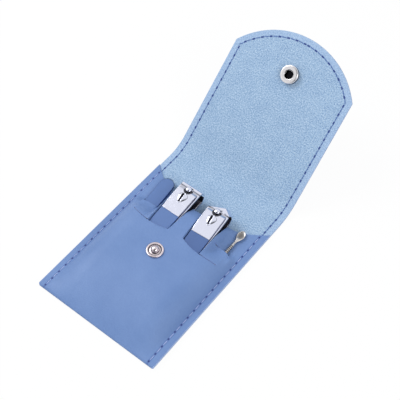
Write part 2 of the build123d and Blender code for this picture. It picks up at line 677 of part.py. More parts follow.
def ear_pick():
    """Ear pick: a slim shaft with grip rings, a neck and a hollowed spoon."""
    z = ARM_BOTTOM + PICK_RING / 2
    tail_y = PICK_TIP_Y - PICK_LENGTH
    radius = PICK_SHAFT / 2
    shaft = Cylinder(radius, PICK_NECK_Y - tail_y, align=(Align.CENTER, Align.CENTER, Align.MIN))
    body = Pos(0, tail_y, 0) * Rot(-90, 0, 0) * shaft
    for k in range(PICK_RING_COUNT):
        ring = Cylinder(PICK_RING / 2, PICK_RING_PITCH / 2)
        body += Pos(0, PICK_NECK_Y - (k + 1) * PICK_RING_PITCH, 0) * Rot(-90, 0, 0) * ring
    rows = [(PICK_TIP_Y - PICK_NECK_Y, radius, radius)] + PICK_SPOON
    sections = []
    for back, half, height in rows:
        plane = Plane(origin=(0, PICK_TIP_Y - back, 0), x_dir=(1, 0, 0), z_dir=(0, -1, 0))
        sections.append(plane * Ellipse(half, height))
    body += loft(sections)
    body -= Pos(0, PICK_TIP_Y - PICK_SCOOP_BACK, PICK_SCOOP_LIFT) * Sphere(PICK_SCOOP_RADIUS)
    return Pos(PICK_X, 0, z) * body


def build():
    """All nodes of the set by name."""
    back_skin, back_lining = back_layers()
    pocket_skin, pocket_lining = pocket_layers()
    nodes = {
        "back_skin": back_skin,
        "back_lining": back_lining,
        "pocket_skin": pocket_skin,
        "pocket_lining": pocket_lining,
        "pocket_stitches": pocket_stitches(),
        "snap_stud": snap_stud(),
        "stud_rivet": stud_rivet(),
        "spine_skin": spine_layer(LINING, SHEET),
        "spine_lining": spine_layer(0, LINING),
        "spine_stitches": spine_stitches(),
        "flap_skin": flap_layer(LINING, SHEET),
        "flap_lining": flap_layer(0, LINING),
        "flap_stitches": flap_stitches(),
        "snap_socket": snap_socket(),
        "socket_spring": socket_spring(),
        "snap_cap": snap_cap(),
        "ear_pick": ear_pick(),
    }
    nodes.update(clipper("straight", STRAIGHT_EDGE, STRAIGHT_FACE, STRAIGHT_PIN, STRAIGHT_TURN))
    nodes.update(clipper("slant", SLANT_EDGE, SLANT_FACE, SLANT_PIN, SLANT_TURN))
    nodes.update(file_pieces())
    return nodes


os.makedirs("parts", exist_ok=True)
for node, solid in build().items():
    export_step(solid, f"parts/{node}.step")
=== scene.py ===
import json
import math

import bmesh
import bpy
import numpy as np
from mathutils import Euler, Matrix, Vector


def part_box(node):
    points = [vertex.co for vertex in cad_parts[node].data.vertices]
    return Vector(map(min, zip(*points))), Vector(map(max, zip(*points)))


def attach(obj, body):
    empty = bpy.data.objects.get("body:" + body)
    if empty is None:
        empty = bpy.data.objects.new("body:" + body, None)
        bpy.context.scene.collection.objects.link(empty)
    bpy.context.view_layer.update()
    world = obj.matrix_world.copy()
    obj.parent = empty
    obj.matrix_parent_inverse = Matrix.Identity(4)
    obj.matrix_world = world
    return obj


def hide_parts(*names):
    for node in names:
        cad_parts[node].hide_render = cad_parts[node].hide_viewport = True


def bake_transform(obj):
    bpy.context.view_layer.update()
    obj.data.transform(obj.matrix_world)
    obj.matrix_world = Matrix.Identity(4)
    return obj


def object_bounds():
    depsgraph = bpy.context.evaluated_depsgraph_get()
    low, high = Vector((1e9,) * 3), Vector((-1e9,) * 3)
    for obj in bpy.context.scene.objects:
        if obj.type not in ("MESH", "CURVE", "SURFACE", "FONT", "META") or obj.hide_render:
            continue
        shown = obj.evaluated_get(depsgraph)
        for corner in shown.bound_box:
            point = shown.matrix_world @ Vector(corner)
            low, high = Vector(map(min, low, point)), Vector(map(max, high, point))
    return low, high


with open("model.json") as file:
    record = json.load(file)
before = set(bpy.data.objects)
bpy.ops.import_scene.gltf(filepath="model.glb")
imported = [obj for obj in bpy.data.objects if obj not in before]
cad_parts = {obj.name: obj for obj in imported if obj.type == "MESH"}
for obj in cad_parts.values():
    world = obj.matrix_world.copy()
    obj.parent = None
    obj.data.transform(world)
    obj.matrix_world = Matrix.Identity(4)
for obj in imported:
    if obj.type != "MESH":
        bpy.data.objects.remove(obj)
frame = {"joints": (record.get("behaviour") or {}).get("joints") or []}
cad_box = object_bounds()

# Back and spine of the pouch. One strip of laminate, a smooth polyurethane-coated
# leather glued to a flocked suede lining, lies flat on its back and bends up at the
# crease into the spine. It is cut with a die, so its edges are square and bare.

MM = 0.001
# UV maps are laid out in decimetres
DECIMETRE = 100.0


def linear(code, share=1.0):
    """Linear RGBA of an sRGB hex colour, with this share of its light."""
    parts = [int(code[k:k + 2], 16) / 255 for k in (1, 3, 5)]
    return [share * (v / 12.92 if v <= 0.04045 else ((v + 0.055) / 1.055) ** 2.4) for v in parts] + [1.0]


def feed(tree, node, inputs):
    """Fills inputs of a node with values, with sockets, or with other nodes' live output."""
    for key, value in inputs.items():
        if isinstance(value, bpy.types.Node):
            value = next(socket for socket in value.outputs if socket.enabled)
        if isinstance(value, bpy.types.NodeSocket):
            tree.links.new(value, node.inputs[key])
        else:
            node.inputs[key].default_value = value


def add(tree, kind, inputs=None, **settings):
    """Adds one shader node with its settings and its links."""
    made = tree.nodes.new("ShaderNode" + kind)
    for key, value in settings.items():
        setattr(made, key, value)
    feed(tree, made, inputs or {})
    return made


def surface(name, **inputs):
    """New material of one Principled shader with these values, its node tree and shader."""
    made = bpy.data.materials.new(name)
    made.use_nodes = True
    shader = made.node_tree.nodes["Principled BSDF"]
    feed(made.node_tree, shader, {key.replace("_", " "): value for key, value in inputs.items()})
    return made, made.node_tree, shader


def piece(name, points, faces, materials, slots=0, maps=None, sharp=None):
    """A mesh in millimetres with its materials, its UV maps and smooth faces."""
    mesh = bpy.data.meshes.new(name)
    mesh.from_pydata((points.reshape(-1, 3) * MM).tolist(), [], faces.tolist())
    for made in materials:
        mesh.materials.append(made)
    slots = np.ascontiguousarray(np.broadcast_to(slots, len(faces)), np.int32)
    mesh.polygons.foreach_set("material_index", slots)
    mesh.polygons.foreach_set("use_smooth", np.ones(len(faces), bool))
    loops = np.zeros(len(mesh.loops), np.int32)
    mesh.loops.foreach_get("vertex_index", loops)
    for title, pair in (maps or {}).items():
        uv = np.stack(np.broadcast_arrays(*pair), -1).reshape(-1, 2)
        mesh.uv_layers.new(name=title).data.foreach_set("uv", uv[loops].astype(np.float32).ravel())
    if sharp is not None:
        mesh.set_sharp_from_angle(angle=math.radians(sharp))
    made = bpy.data.objects.new(name, mesh)
    bpy.context.scene.collection.objects.link(made)
    return made


def lattice(rows, columns):
    """Quads of a grid of points numbered row by row."""
    corner = (np.arange(rows - 1)[:, None] * columns + np.arange(columns - 1)).ravel()
    return np.stack([corner, corner + 1, corner + columns + 1, corner + columns], 1)


def unit(vectors):
    """The same directions, one long."""
    return vectors / np.maximum(np.linalg.norm(vectors, axis=-1, keepdims=True), 1e-9)


def grid_normals(grid):
    """Unit normals of a grid of points: the cross product of its two directions."""
    return unit(np.cross(np.gradient(grid, axis=1), np.gradient(grid, axis=0)))


def sheet_body(name, points, thick, rim, materials, slots=0, maps=None, sharp=None, butt=None,
               quads=None, normals=None):
    """Closed body of a sheet. Its upper face is a grid of points, or points with their quads
    and normals, and its lower face lies at the thickness below, along the normals. Every
    free edge gets a rim, a list of (share of the thickness, millimetres outwards) from
    face to face. It runs square between the points of the butt mask, where the next piece
    carries on. The slots are the materials of the two faces and of each step of the rim."""
    if quads is None:
        quads, normals = lattice(*points.shape[:2]), grid_normals(points)
    shape = points.shape[:-1]
    points, normals = points.reshape(-1, 3), normals.reshape(-1, 3)
    thick = np.broadcast_to(thick, shape).reshape(-1, 1)
    count = len(points)
    edges = np.concatenate([quads[:, [k, (k + 1) % 4]] for k in range(4)])
    free = edges[~np.isin(edges[:, 0] * count + edges[:, 1], edges[:, 1] * count + edges[:, 0])]
    side = unit(np.cross(points[free[:, 1]] - points[free[:, 0]], normals[free[:, 0]]))
    if butt is not None:
        side[butt.ravel()[free].all(axis=1)] = 0
    out = np.zeros_like(points)
    np.add.at(out, free[:, 0], side)
    np.add.at(out, free[:, 1], side)
    out = unit(out)
    edge, place = np.unique(free, return_inverse=True)
    place = place.reshape(free.shape)
    layers = [points - normals * thick * share + out * push for share, push in rim]
    blocks = [layers[0], layers[-1]] + [layer[edge] for layer in layers[1:-1]]
    sources = np.concatenate([np.arange(count)] * 2 + [edge] * (len(rim) - 2))
    firsts = 2 * count + len(edge) * np.arange(len(rim) - 2)
    rows = [free] + [first + place for first in firsts] + [count + free]
    faces = [quads, quads[:, ::-1] + count]
    faces += [np.stack([a[:, 1], a[:, 0], b[:, 0], b[:, 1]], 1) for a, b in zip(rows, rows[1:])]
    marks = [np.full(len(part), slot) for part, slot in zip(faces, np.broadcast_to(slots, len(faces)))]
    maps = {title: [np.broadcast_to(part, shape).ravel()[sources] for part in pair]
            for title, pair in (maps or {}).items()}
    return piece(name, np.concatenate(blocks), np.concatenate(faces), materials,
                 np.concatenate(marks), maps, sharp)


def box_of(node):
    """Lowest and highest corner of a CAD node, in millimetres."""
    return [np.array(corner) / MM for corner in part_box(node)]


joints = {joint["name"]: joint for joint in frame["joints"]}
CREASE = np.array(joints["spine_fold"]["pos_m"]) / MM
FLAP_CREASE = np.array(joints["flap_fold"]["pos_m"]) / MM
HALF_WIDTH = box_of("back_skin")[1][0]
FOLD_Y = box_of("back_skin")[0][1]
SHEET = CREASE[2]
CHORD = FLAP_CREASE - CREASE
FLAP_ANGLE = 2 * math.atan2(CHORD[2], CHORD[1])
SPINE_RADIUS = np.linalg.norm(CHORD) / (2 * math.sin(FLAP_ANGLE / 2))
CREASE_S = CREASE[1] - FOLD_Y
FLAP_S = CREASE_S + SPINE_RADIUS * FLAP_ANGLE
MID_SPINE_S = (CREASE_S + FLAP_S) / 2
STITCH_X = 35.3
STITCH_PITCH = 5.2
STITCH_START = 0.6
CORNER_ROUND = 1.1
LAMINATE_RIM = [(0, -0.14), (0.06, -0.03), (0.2, 0.02), (0.4, -0.02), (0.42, -0.1), (0.46, 0.0),
                (0.7, 0.03), (0.94, -0.03), (1, -0.14)]
LAMINATE_SLOTS = [0, 1, 2, 2, 2, 2, 3, 3, 3, 3]


def on_laminate(x, s, lift):
    """Place on the lining face at s along the strip from the bottom fold, lifted off it.
    The strip is straight up to the crease, then an arc, then straight again."""
    turn = np.clip((s - CREASE_S) / SPINE_RADIUS, 0, FLAP_ANGLE)
    flap = np.maximum(s - FLAP_S, 0)
    y = FOLD_Y + np.minimum(s, CREASE_S) + SPINE_RADIUS * np.sin(turn) + flap * math.cos(FLAP_ANGLE)
    z = SHEET + SPINE_RADIUS * (1 - np.cos(turn)) + flap * math.sin(FLAP_ANGLE)
    x, turn, y, z = np.broadcast_arrays(x, turn, y, z)
    return np.stack([x, y - lift * np.sin(turn), z + lift * np.cos(turn)], -1)


def beside_seam(tree):
    """Share of a stitch's pitch along the seam, and millimetres off the seam, outwards."""
    seam = add(tree, "SeparateXYZ", {0: add(tree, "UVMap", uv_map="seam")})
    off = add(tree, "Math", {0: seam.outputs[1], 1: DECIMETRE}, operation="MULTIPLY")
    return add(tree, "Math", {0: seam}, operation="FRACT"), off


def suede():
    """Flocked suede lining: short fibres cut to 0.4 mm, brushed flat in small patches that
    catch the light differently, so the eye sees pale and dark specks. Fibres this fine
    don't show, and the specks are drawn 0.75 mm wide. Along the seam the pile is pulled
    down into a groove, painted as a dark line of shade with darker painted shade in the
    needle holes, and the rim outside it was pressed smooth when it was cut."""
    made, tree, shader = surface("flocked_suede", Roughness=0.95, Specular_IOR_Level=0.15,
                                 Sheen_Weight=0.25, Sheen_Roughness=0.6)
    place = add(tree, "UVMap", uv_map="laminate")
    speck = add(tree, "TexNoise", {"Vector": place, "Scale": DECIMETRE / 0.75, "Detail": 3, "Roughness": 0.75})
    patch = add(tree, "TexNoise", {"Vector": place, "Scale": DECIMETRE / 9, "Detail": 4, "Roughness": 0.6})
    both = add(tree, "Math", {0: patch, 1: 0.12, 2: speck}, operation="MULTIPLY_ADD")
    tint = add(tree, "ValToRGB", {"Fac": both})
    stops = tint.color_ramp.elements
    stops.new(0.565)
    for stop, share, code in zip(stops, (0.4, 0.565, 0.74), ("#6E8DB6", "#98B5D3", "#BED3E8")):
        stop.position, stop.color = share, linear(code)
    cycle, off = beside_seam(tree)
    rim = add(tree, "MapRange", {"Value": off, 1: 0.2, 2: 0.9, 4: 0.3})
    off = add(tree, "Math", {0: off}, operation="ABSOLUTE")
    groove = add(tree, "MapRange", {"Value": off, 1: 0.2, 2: 0.5, 3: 0.35, 4: 0})
    along = add(tree, "Math", {0: cycle, 1: 0.5, 2: 0.16}, operation="COMPARE")
    near = add(tree, "MapRange", {"Value": off, 1: 0.35, 2: 0.6, 3: 1, 4: 0})
    hole = add(tree, "Math", {0: along, 1: near}, operation="MULTIPLY")
    # painted shade: a dark groove along the seam and darker needle holes; the pale rim is the pressed pile
    for share, code in ((rim, "#A8C0E6"), (groove, "#4E6FAE"), (hole, "#2C4384")):
        tint = add(tree, "Mix", {0: share, 6: tint, 7: linear(code)}, data_type="RGBA")
    raised = add(tree, "Bump", {"Height": speck, "Strength": 0.55, "Distance": 0.25 * MM})
    feed(tree, shader, {"Base Color": tint, "Normal": raised})
    return made


def coated_leather():
    """Polyurethane-coated leather: a smooth, slightly satin film over split leather, with a
    fine embossed pore 0.6 mm apart and a soft cloudy unevenness. Along the seams each
    needle hole shows as a dimple with painted shade in it, and the thread sits in a shallow
    groove painted darker for its shade."""
    made, tree, shader = surface("coated_leather", Roughness=0.5, Specular_IOR_Level=0.35)
    place = add(tree, "UVMap", uv_map="laminate")
    cloud = add(tree, "TexNoise", {"Vector": place, "Scale": DECIMETRE / 22, "Detail": 3, "Roughness": 0.55})
    tint = add(tree, "ValToRGB", {"Fac": cloud})
    for stop, share, code in zip(tint.color_ramp.elements, (0.3, 0.72), ("#6886B9", "#7491C3")):
        stop.position, stop.color = share, linear(code)
    cycle, across = beside_seam(tree)
    along = add(tree, "Math", {0: cycle, 1: 0.5}, operation="SUBTRACT")
    along = add(tree, "Math", {0: along, 1: STITCH_PITCH}, operation="MULTIPLY")
    along = add(tree, "Math", {0: along, 1: along}, operation="MULTIPLY")
    across = add(tree, "Math", {0: across, 1: across}, operation="MULTIPLY")
    reach = add(tree, "Math", {0: along, 1: across}, operation="ADD")
    hole = add(tree, "MapRange", {"Value": reach, 1: 0.12, 2: 0.42, 3: 1, 4: 0})
    grain = add(tree, "TexNoise", {"Vector": place, "Scale": DECIMETRE / 1.1, "Detail": 3, "Roughness": 0.7})
    grain = add(tree, "MapRange", {"Value": grain, 1: 0.3, 2: 0.7, 3: 0.25, 4: 0})
    groove = add(tree, "MapRange", {"Value": across, 1: 0.1, 2: 0.6, 3: 0.6, 4: 0})
    # painted shade: the groove along the seam and the needle holes; the grain is the coat's own tone
    for share, code in ((grain, "#5775B0"), (groove, "#4763A3"), (hole, "#2A3A78")):
        tint = add(tree, "Mix", {0: share, 6: tint, 7: linear(code)}, data_type="RGBA")
    pore = add(tree, "TexVoronoi", {"Vector": place, "Scale": DECIMETRE / 0.6})
    fine = add(tree, "TexNoise", {"Vector": place, "Scale": DECIMETRE / 2.5, "Detail": 4})
    height = add(tree, "Math", {0: fine, 1: 1.5, 2: pore}, operation="MULTIPLY_ADD")
    height = add(tree, "Math", {0: hole, 1: -3, 2: height}, operation="MULTIPLY_ADD")
    raised = add(tree, "Bump", {"Height": height, "Strength": 0.2, "Distance": 0.3 * MM})
    feed(tree, shader, {"Base Color": tint, "Normal": raised})
    return made


def cut_edge(name, code):
    """Bare die-cut edge of one layer: matt, with loose fibres that make it streaky."""
    made, tree, shader = surface(name, Roughness=0.85, Specular_IOR_Level=0.2)
    place = add(tree, "TexCoord").outputs["Object"]
    streak = add(tree, "TexNoise", {"Vector": place, "Scale": 1 / (0.5 * MM)})
    tint = add(tree, "Mix", {0: streak, 6: linear(code, 0.7), 7: linear(code)}, data_type="RGBA")
    feed(tree, shader, {"Base Color": tint})
    return made


LAMINATE = [suede(), coated_leather(), cut_edge("lining_edge", "#B6CCEA"),
            cut_edge("leather_edge", "#8DA3DA")]


def laminate_sheet(name, x, s, seam):
    """Sheet of laminate over a grid of places on the strip, cut square across the spine."""
    return sheet_body(name, on_laminate(x, s, 0), SHEET, LAMINATE_RIM, LAMINATE, LAMINATE_SLOTS,
                      {"laminate": (x / DECIMETRE, s / DECIMETRE), "seam": seam},
                      sharp=40, butt=np.isclose(s, MID_SPINE_S))


def seam_map(x, s):
    """Stitch pitches along the side seam, and decimetres away from it."""
    return s / STITCH_PITCH - STITCH_START, (np.abs(x) - STITCH_X) / DECIMETRE


def rounded_corner(x, y):
    """The same place across the strip, drawn in where the die rounded the bottom corners."""
    past = np.clip((FOLD_Y - SHEET + CORNER_ROUND - y) / CORNER_ROUND, 0, 0.95)
    return x * (1 - CORNER_ROUND * (1 - np.sqrt(1 - past**2)) / HALF_WIDTH)


across = np.linspace(-HALF_WIDTH, HALF_WIDTH, 121)
along = np.concatenate([[0, 0.3], np.linspace(0.8, CREASE_S - 8, 90),
                        np.linspace(CREASE_S - 7, MID_SPINE_S, 40)])
x, s = np.meshgrid(across, along)
x = rounded_corner(x, s + FOLD_Y)
back = laminate_sheet("pouch_back", x, s, seam_map(x, s))
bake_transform(back)
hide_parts("back_skin", "back_lining", "spine_skin", "spine_lining")

# Flap of the pouch. The same strip of laminate carries on from the spine, straight, with
# a round end cut by the same die. It bends at the second crease when the pouch is shut.

FLAP_SHOULDER = 63.0
FLAP_TIP = 82.6
STRETCH_FROM = 40.0
END_RADIUS = (HALF_WIDTH**2 + (FLAP_TIP - FLAP_SHOULDER) ** 2) / (2 * (FLAP_TIP - FLAP_SHOULDER))
END_CENTRE = FLAP_S + FLAP_TIP - END_RADIUS
SEAM_RADIUS = END_RADIUS - (HALF_WIDTH - STITCH_X)
SEAM_CORNER = math.asin(STITCH_X / SEAM_RADIUS)
CORNER_S = END_CENTRE + SEAM_RADIUS * math.cos(SEAM_CORNER)


def flap_seam_map(x, s):
    """Pitches along the seam, up the side and then round the end, and decimetres off it."""
    turn = np.arctan2(np.abs(x), s - END_CENTRE)
    round_end = (turn < SEAM_CORNER) & (s > CORNER_S - 2)
    run = np.where(round_end, CORNER_S + (SEAM_CORNER - turn) * SEAM_RADIUS, s)
    off = np.where(round_end, np.hypot(x, s - END_CENTRE) - SEAM_RADIUS, np.abs(x) - STITCH_X)
    return run / STITCH_PITCH - STITCH_START, off / DECIMETRE


across = np.concatenate([[-HALF_WIDTH, 0.4 - HALF_WIDTH], np.linspace(1 - HALF_WIDTH, HALF_WIDTH - 1, 119),
                         [HALF_WIDTH - 0.4, HALF_WIDTH]])
# Rows lie straight across up to here, and bend from here on into the round end
stretch_s = FLAP_S + STRETCH_FROM
tip_s = END_CENTRE + np.sqrt(END_RADIUS**2 - across**2)
start = np.concatenate([np.linspace(MID_SPINE_S, FLAP_S + 6, 40), np.linspace(FLAP_S + 7, stretch_s, 45)])
s = np.concatenate([start[:, None] + 0 * across,
                    stretch_s + np.linspace(0, 1, 65)[1:, None] * (tip_s - stretch_s)])
x = np.broadcast_to(across, s.shape)
flap = laminate_sheet("pouch_flap", x, s, flap_seam_map(x, s))
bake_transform(flap)
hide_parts("flap_skin", "flap_lining")

# Pocket front. The laminate turns round the bottom fold and comes up over the tools, sewn
# to the back along both sides. Two long curved slits let the clippers out, two short ones
# the file and the pick, and above them the sheet lies under the tools, up to a hollow lip.

SEAM_TOP = 2 * SHEET
CROWN_Z = box_of("snap_stud")[0][2]
CROWN_HALF = 20.0
CROWN_END_Y = 10.0
CROWN_FALL = 0.06
RISE_LENGTH = 38.0
RISE_FULLNESS = 0.8
SEAM_FOOT = 34.5
FOOT_SLOPE = 2.2
FOOT_BLEND = 0.3
FOOT_SINK = 0.12
LIP_DIP_Y = 30.0
LIP_RADIUS = 58.0
LIP_BEND_Y = 24.0
LIP_FALL = 0.5
STRAP_DROP = 0.6
STRAP_Z = 5.6
STRAP_REACH = 4.0
STRAP_FROM = 12.0
TRAY_Z = 2.45
TRAY_SLOPE = 7.0
FRONT_THICK = 1.15
ARM_HALF = 6.7
ARM_NARROWING = 0.048
ARM_TAPER_Y = -8.0
WALL_GAP = 0.05
WALL_WIDTH = 0.5
WALL_LEAN = 2.5
WALL_SHARE = 0.28
CLIPPERS = {
    "straight": (np.array(joints["straight_lever_swivel"]["pos_m"][:2]) / MM, 0.0),
    "slant": (np.array(joints["slant_lever_swivel"]["pos_m"][:2]) / MM, math.radians(3.5)),
}
# Ends of the slits: x inside, x outside, y inside, y outside
STRAIGHT_SLIT = (-3.0, -27.8, 9.2, 9.5)
SLANT_SLIT = (6.1, 30.0, 9.8, 8.7)
FILE_SLIT = (-19.3, -29.9, 19.4, 18.3)
PICK_SLIT = (20.5, 31.0, 19.3, 19.0)
# Rows of slits: left, right, sag between their ends
BIG_SLITS = (STRAIGHT_SLIT, SLANT_SLIT, 2.3)
SMALL_SLITS = (FILE_SLIT, PICK_SLIT, -0.6)
SLIT_OPEN = 0.5
SLIT_FADE = 3.0
# Trays of the small tools: slit, where the tray starts, width of its side, fade at the slit's ends
TRAYS = ((FILE_SLIT, -16.5, 4.6, 1.2), (PICK_SLIT, 20.6, 5.6, 2.5))


def smooth(value):
    """Soft step from 0 to 1."""
    value = np.clip(value, 0, 1)
    return value * value * (3 - 2 * value)


def slit_line(x, left, right, sag):
    """Line across the sheet through two slits: each is a parabola that sags between its
    ends, and the line runs straight between and beside them."""
    line = np.interp(x, [left[1], left[0], right[0], right[1]], [left[3], left[2], right[2], right[3]])
    for inner, outer, _, _ in (left, right):
        share = np.clip((x - inner) / (outer - inner), 0, 1)
        line = line - 4 * sag * share * (1 - share)
    return line


def within(x, slit, fade):
    """1 along a slit, falling to 0 at its two ends."""
    low, high = sorted(slit[:2])
    return smooth((x - low) / fade) * smooth((high - x) / fade)


def beside_clippers(x, y):
    """Millimetres from the side of the nearer clipper, whose arms narrow to the tail."""
    gaps = []
    for pin, turn in CLIPPERS.values():
        dx, dy = x - pin[0], y - pin[1]
        aside = np.abs(math.cos(turn) * dx + math.sin(turn) * dy)
        ahead = math.cos(turn) * dy - math.sin(turn) * dx
        gaps.append(aside - ARM_HALF - WALL_GAP + ARM_NARROWING * np.maximum(ARM_TAPER_Y - ahead, 0))
    return np.minimum(*gaps)


def pocket_top(x, y, zone):
    """Height of the outer face. A crown rises from the fold along a sine and across from
    the seams along an arc. Above the big slits (zone 1) it drops into the clippers'
    channels and the straps, and above the small ones (zone 2) into the tools' trays."""
    rise = np.sin(np.pi / 2 * np.clip((y - FOLD_Y) / RISE_LENGTH, 0, 1)) ** RISE_FULLNESS
    past = y - LIP_BEND_Y
    crown = (CROWN_Z - SEAM_TOP) * rise - CROWN_FALL * np.maximum(y - CROWN_END_Y, 0)
    crown = np.maximum(crown - LIP_FALL * (past + np.sqrt(past**2 + 4)) / 2, 0.05)
    radius = ((SEAM_FOOT - CROWN_HALF) ** 2 + crown**2) / (2 * crown)
    off = np.clip(np.abs(x) - CROWN_HALF, 0, radius * 0.999)
    arc = crown - radius + np.sqrt(radius**2 - off**2)
    arc = np.where(np.abs(x) > SEAM_FOOT, -FOOT_SLOPE * (np.abs(x) - SEAM_FOOT), arc)
    top = SEAM_TOP + (arc + np.sqrt(arc**2 + FOOT_BLEND)) / 2 - FOOT_SINK
    if zone == 0:
        return top
    beside = beside_clippers(x, y)
    cut = within(x, STRAIGHT_SLIT, SLIT_FADE) + within(x, SLANT_SLIT, SLIT_FADE)
    strap = smooth(beside / STRAP_REACH) * (np.abs(x) > STRAP_FROM)
    big, small = slit_line(x, *BIG_SLITS), slit_line(x, *SMALL_SLITS)
    level = top - STRAP_DROP * cut
    level = level + np.minimum(STRAP_Z - level, 0) * smooth((y - big) / np.maximum(small - big, 0.1))
    top = top + (level - top) * strap
    drop = smooth((y - small + 3.0) / TRAY_SLOPE)
    for slit, inner, width, fade in TRAYS:
        out = np.sign(inner) * x
        inside = within(x, slit, fade)
        share = drop * (1 - inside) + (inside if zone == 2 else 0)
        share = share * smooth((out - abs(inner)) / width) * smooth((SEAM_FOOT + 1.5 - out) / 2.5)
        top = top + (TRAY_Z - top) * share
    return TRAY_Z + (top - TRAY_Z) * smooth(beside / WALL_WIDTH) ** 0.4


across = np.linspace(-HALF_WIDTH, HALF_WIDTH, 331)
slit_y, small_y = slit_line(across, *BIG_SLITS), slit_line(across, *SMALL_SLITS)
lip_y = LIP_DIP_Y + LIP_RADIUS - np.sqrt(LIP_RADIUS**2 - across**2)
turns = np.linspace(-math.pi / 2, math.pi / 2, 9)[:-1, None]
fold = np.stack(np.broadcast_arrays(across, FOLD_Y - SHEET * np.cos(turns), SHEET + SHEET * np.sin(turns)), -1)
bands = []
thick = [np.full(fold.shape[:2], FRONT_THICK)]
for slits, low, high, count in (((), FOLD_Y, slit_y, 62), (BIG_SLITS[:2], slit_y, small_y, 22),
                                (SMALL_SLITS[:2], small_y, lip_y, 28)):
    share = np.linspace(0, 1, count)[:, None] ** (1 if slits else 1.3)
    start = low + SLIT_OPEN * sum(within(across, slit, 1.0) for slit in slits)
    y = start + share * (high - start)
    x = np.broadcast_to(across, y.shape)
    bands.append(np.stack([x, y, pocket_top(x, y, len(bands))], -1))
    near = smooth((beside_clippers(x, y) - WALL_WIDTH) / WALL_LEAN) if slits else np.ones(x.shape)
    thick.append(FRONT_THICK * (WALL_SHARE + (1 - WALL_SHARE) * near))
bands[0] = np.concatenate([fold, bands[0]])
normals = np.concatenate([grid_normals(band).reshape(-1, 3) for band in bands])
points = np.concatenate([band.reshape(-1, 3) for band in bands])
points[:, 0] = rounded_corner(points[:, 0], points[:, 1])
thick = np.concatenate([part.ravel() for part in thick])
quads = []
first = 0
# Each band of the grid starts on the last row of the one before, but for its slits
for band, slits in zip(bands, ((), BIG_SLITS[:2], SMALL_SLITS[:2])):
    numbers = first + np.arange(band[..., 0].size).reshape(band.shape[:2])
    if slits:
        opened = sum((across > min(slit[:2])) & (across < max(slit[:2])) for slit in slits) > 0
        numbers[0] = np.where(opened, numbers[0], numbers[0] - len(across))
    quads.append(numbers.ravel()[lattice(*band.shape[:2])])
    first += numbers.size
used, quads = np.unique(np.concatenate(quads), return_inverse=True)
points, normals, thick = points[used], normals[used], thick[used]
x = points[:, 0]
run = np.where(points[:, 2] < SHEET, 2 * FOLD_Y - points[:, 1], points[:, 1]) - FOLD_Y
front = sheet_body("pocket_front", points, thick, LAMINATE_RIM, [LAMINATE[k] for k in (1, 0, 3, 2)],
                   LAMINATE_SLOTS, {"laminate": (x / DECIMETRE, run / DECIMETRE), "seam": seam_map(x, run)},
                   quads=quads.reshape(-1, 4), normals=normals)
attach(front, "pouch")
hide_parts("pocket_skin", "pocket_lining")

# Thread of the seams. Bonded polyester twisted from three plies, lock-stitched 3.7 mm inside
# the edge: up both sides of the pocket, over the spine and round the flap, with a run on
# each face of the laminate. Every stitch dips into its needle holes.

THREAD_WIDTH = 0.45
THREAD_PROUD = 0.2
THREAD_DIP = 0.5
STITCH_LENGTH = 4.5
STITCH_SLANT = 0.12
THREAD_SIDES = 8
THREAD_RINGS = 7
PLY_PITCH = 0.8


def twisted_thread(name, code):
    """Twisted thread: the plies wind round it, so slanting stripes show, with painted shade darkening the
    grooves between the plies.
    """
    made, tree, shader = surface(name, Roughness=0.55, Specular_IOR_Level=0.3)
    strand = add(tree, "SeparateXYZ", {0: add(tree, "UVMap", uv_map="strand")})
    phase = add(tree, "Math", {0: strand, 1: strand.outputs[1]}, operation="ADD")
    angle = add(tree, "Math", {0: phase, 1: 2 * math.pi}, operation="MULTIPLY")
    wave = add(tree, "Math", {0: angle}, operation="SINE")
    level = add(tree, "MapRange", {"Value": wave, 1: -1, 2: 1})
    tint = add(tree, "Mix", {0: level, 6: linear(code, 0.72), 7: linear(code)}, data_type="RGBA")
    raised = add(tree, "Bump", {"Height": wave, "Strength": 0.5, "Distance": 0.08 * MM})
    feed(tree, shader, {"Base Color": tint, "Normal": raised})
    return made


def close_up(made, merge, sharp=None):
    """Merges doubles within some metres, closes open ends and turns the faces outwards."""
    closing = bmesh.new()
    closing.from_mesh(made.data)
    bmesh.ops.remove_doubles(closing, verts=closing.verts, dist=merge)
    bmesh.ops.holes_fill(closing, edges=closing.edges)
    bmesh.ops.recalc_face_normals(closing, faces=closing.faces)
    closing.to_mesh(made.data)
    if sharp is not None:
        made.data.set_sharp_from_angle(angle=math.radians(sharp))


def thread_run(name, middles, runs, ups, material):
    """Stitches at the given middles, along their runs, proud of the faces they lie on. Each
    is a tube whose radius follows a half sine and whose middle line dips at both ends."""
    runs, ups = unit(runs), unit(ups)
    share = np.linspace(-1, 1, THREAD_RINGS)
    turn = 2 * math.pi * np.arange(THREAD_SIDES + 1) / THREAD_SIDES
    arch = THREAD_PROUD - THREAD_WIDTH / 2 - THREAD_DIP * np.abs(share) ** 5
    along = share * STITCH_LENGTH / 2
    width = THREAD_WIDTH / 2 * np.sin(np.arccos(share * 0.92))[:, None]
    points = middles[:, None, None] + runs[:, None, None] * along[:, None, None]
    points = points + np.cross(runs, ups)[:, None, None] * (width * np.cos(turn))[..., None]
    points = points + ups[:, None, None] * (arch[:, None] + width * np.sin(turn))[..., None]
    strand = [np.broadcast_to(part, (len(middles), THREAD_RINGS, THREAD_SIDES + 1))
              for part in (along[:, None] / PLY_PITCH, turn / (2 * math.pi))]
    firsts = THREAD_RINGS * (THREAD_SIDES + 1) * np.arange(len(middles))
    faces = lattice(THREAD_RINGS, THREAD_SIDES + 1) + firsts[:, None, None]
    made = piece(name, points, faces.reshape(-1, 4), [material], maps={"strand": strand})
    close_up(made, 1e-7)
    return made


def laminate_stitches(x, s, slant, lift):
    """Middles, runs and ups of stitches on the strip. Slant is the run's turn across it."""
    step = 0.05
    middle = on_laminate(x, s, lift)
    ahead = on_laminate(x + step * np.sin(slant), s + step * np.cos(slant), lift)
    up = (on_laminate(x, s, lift + step) - middle) * (1 if lift >= 0 else -1)
    return middle, ahead - middle, up
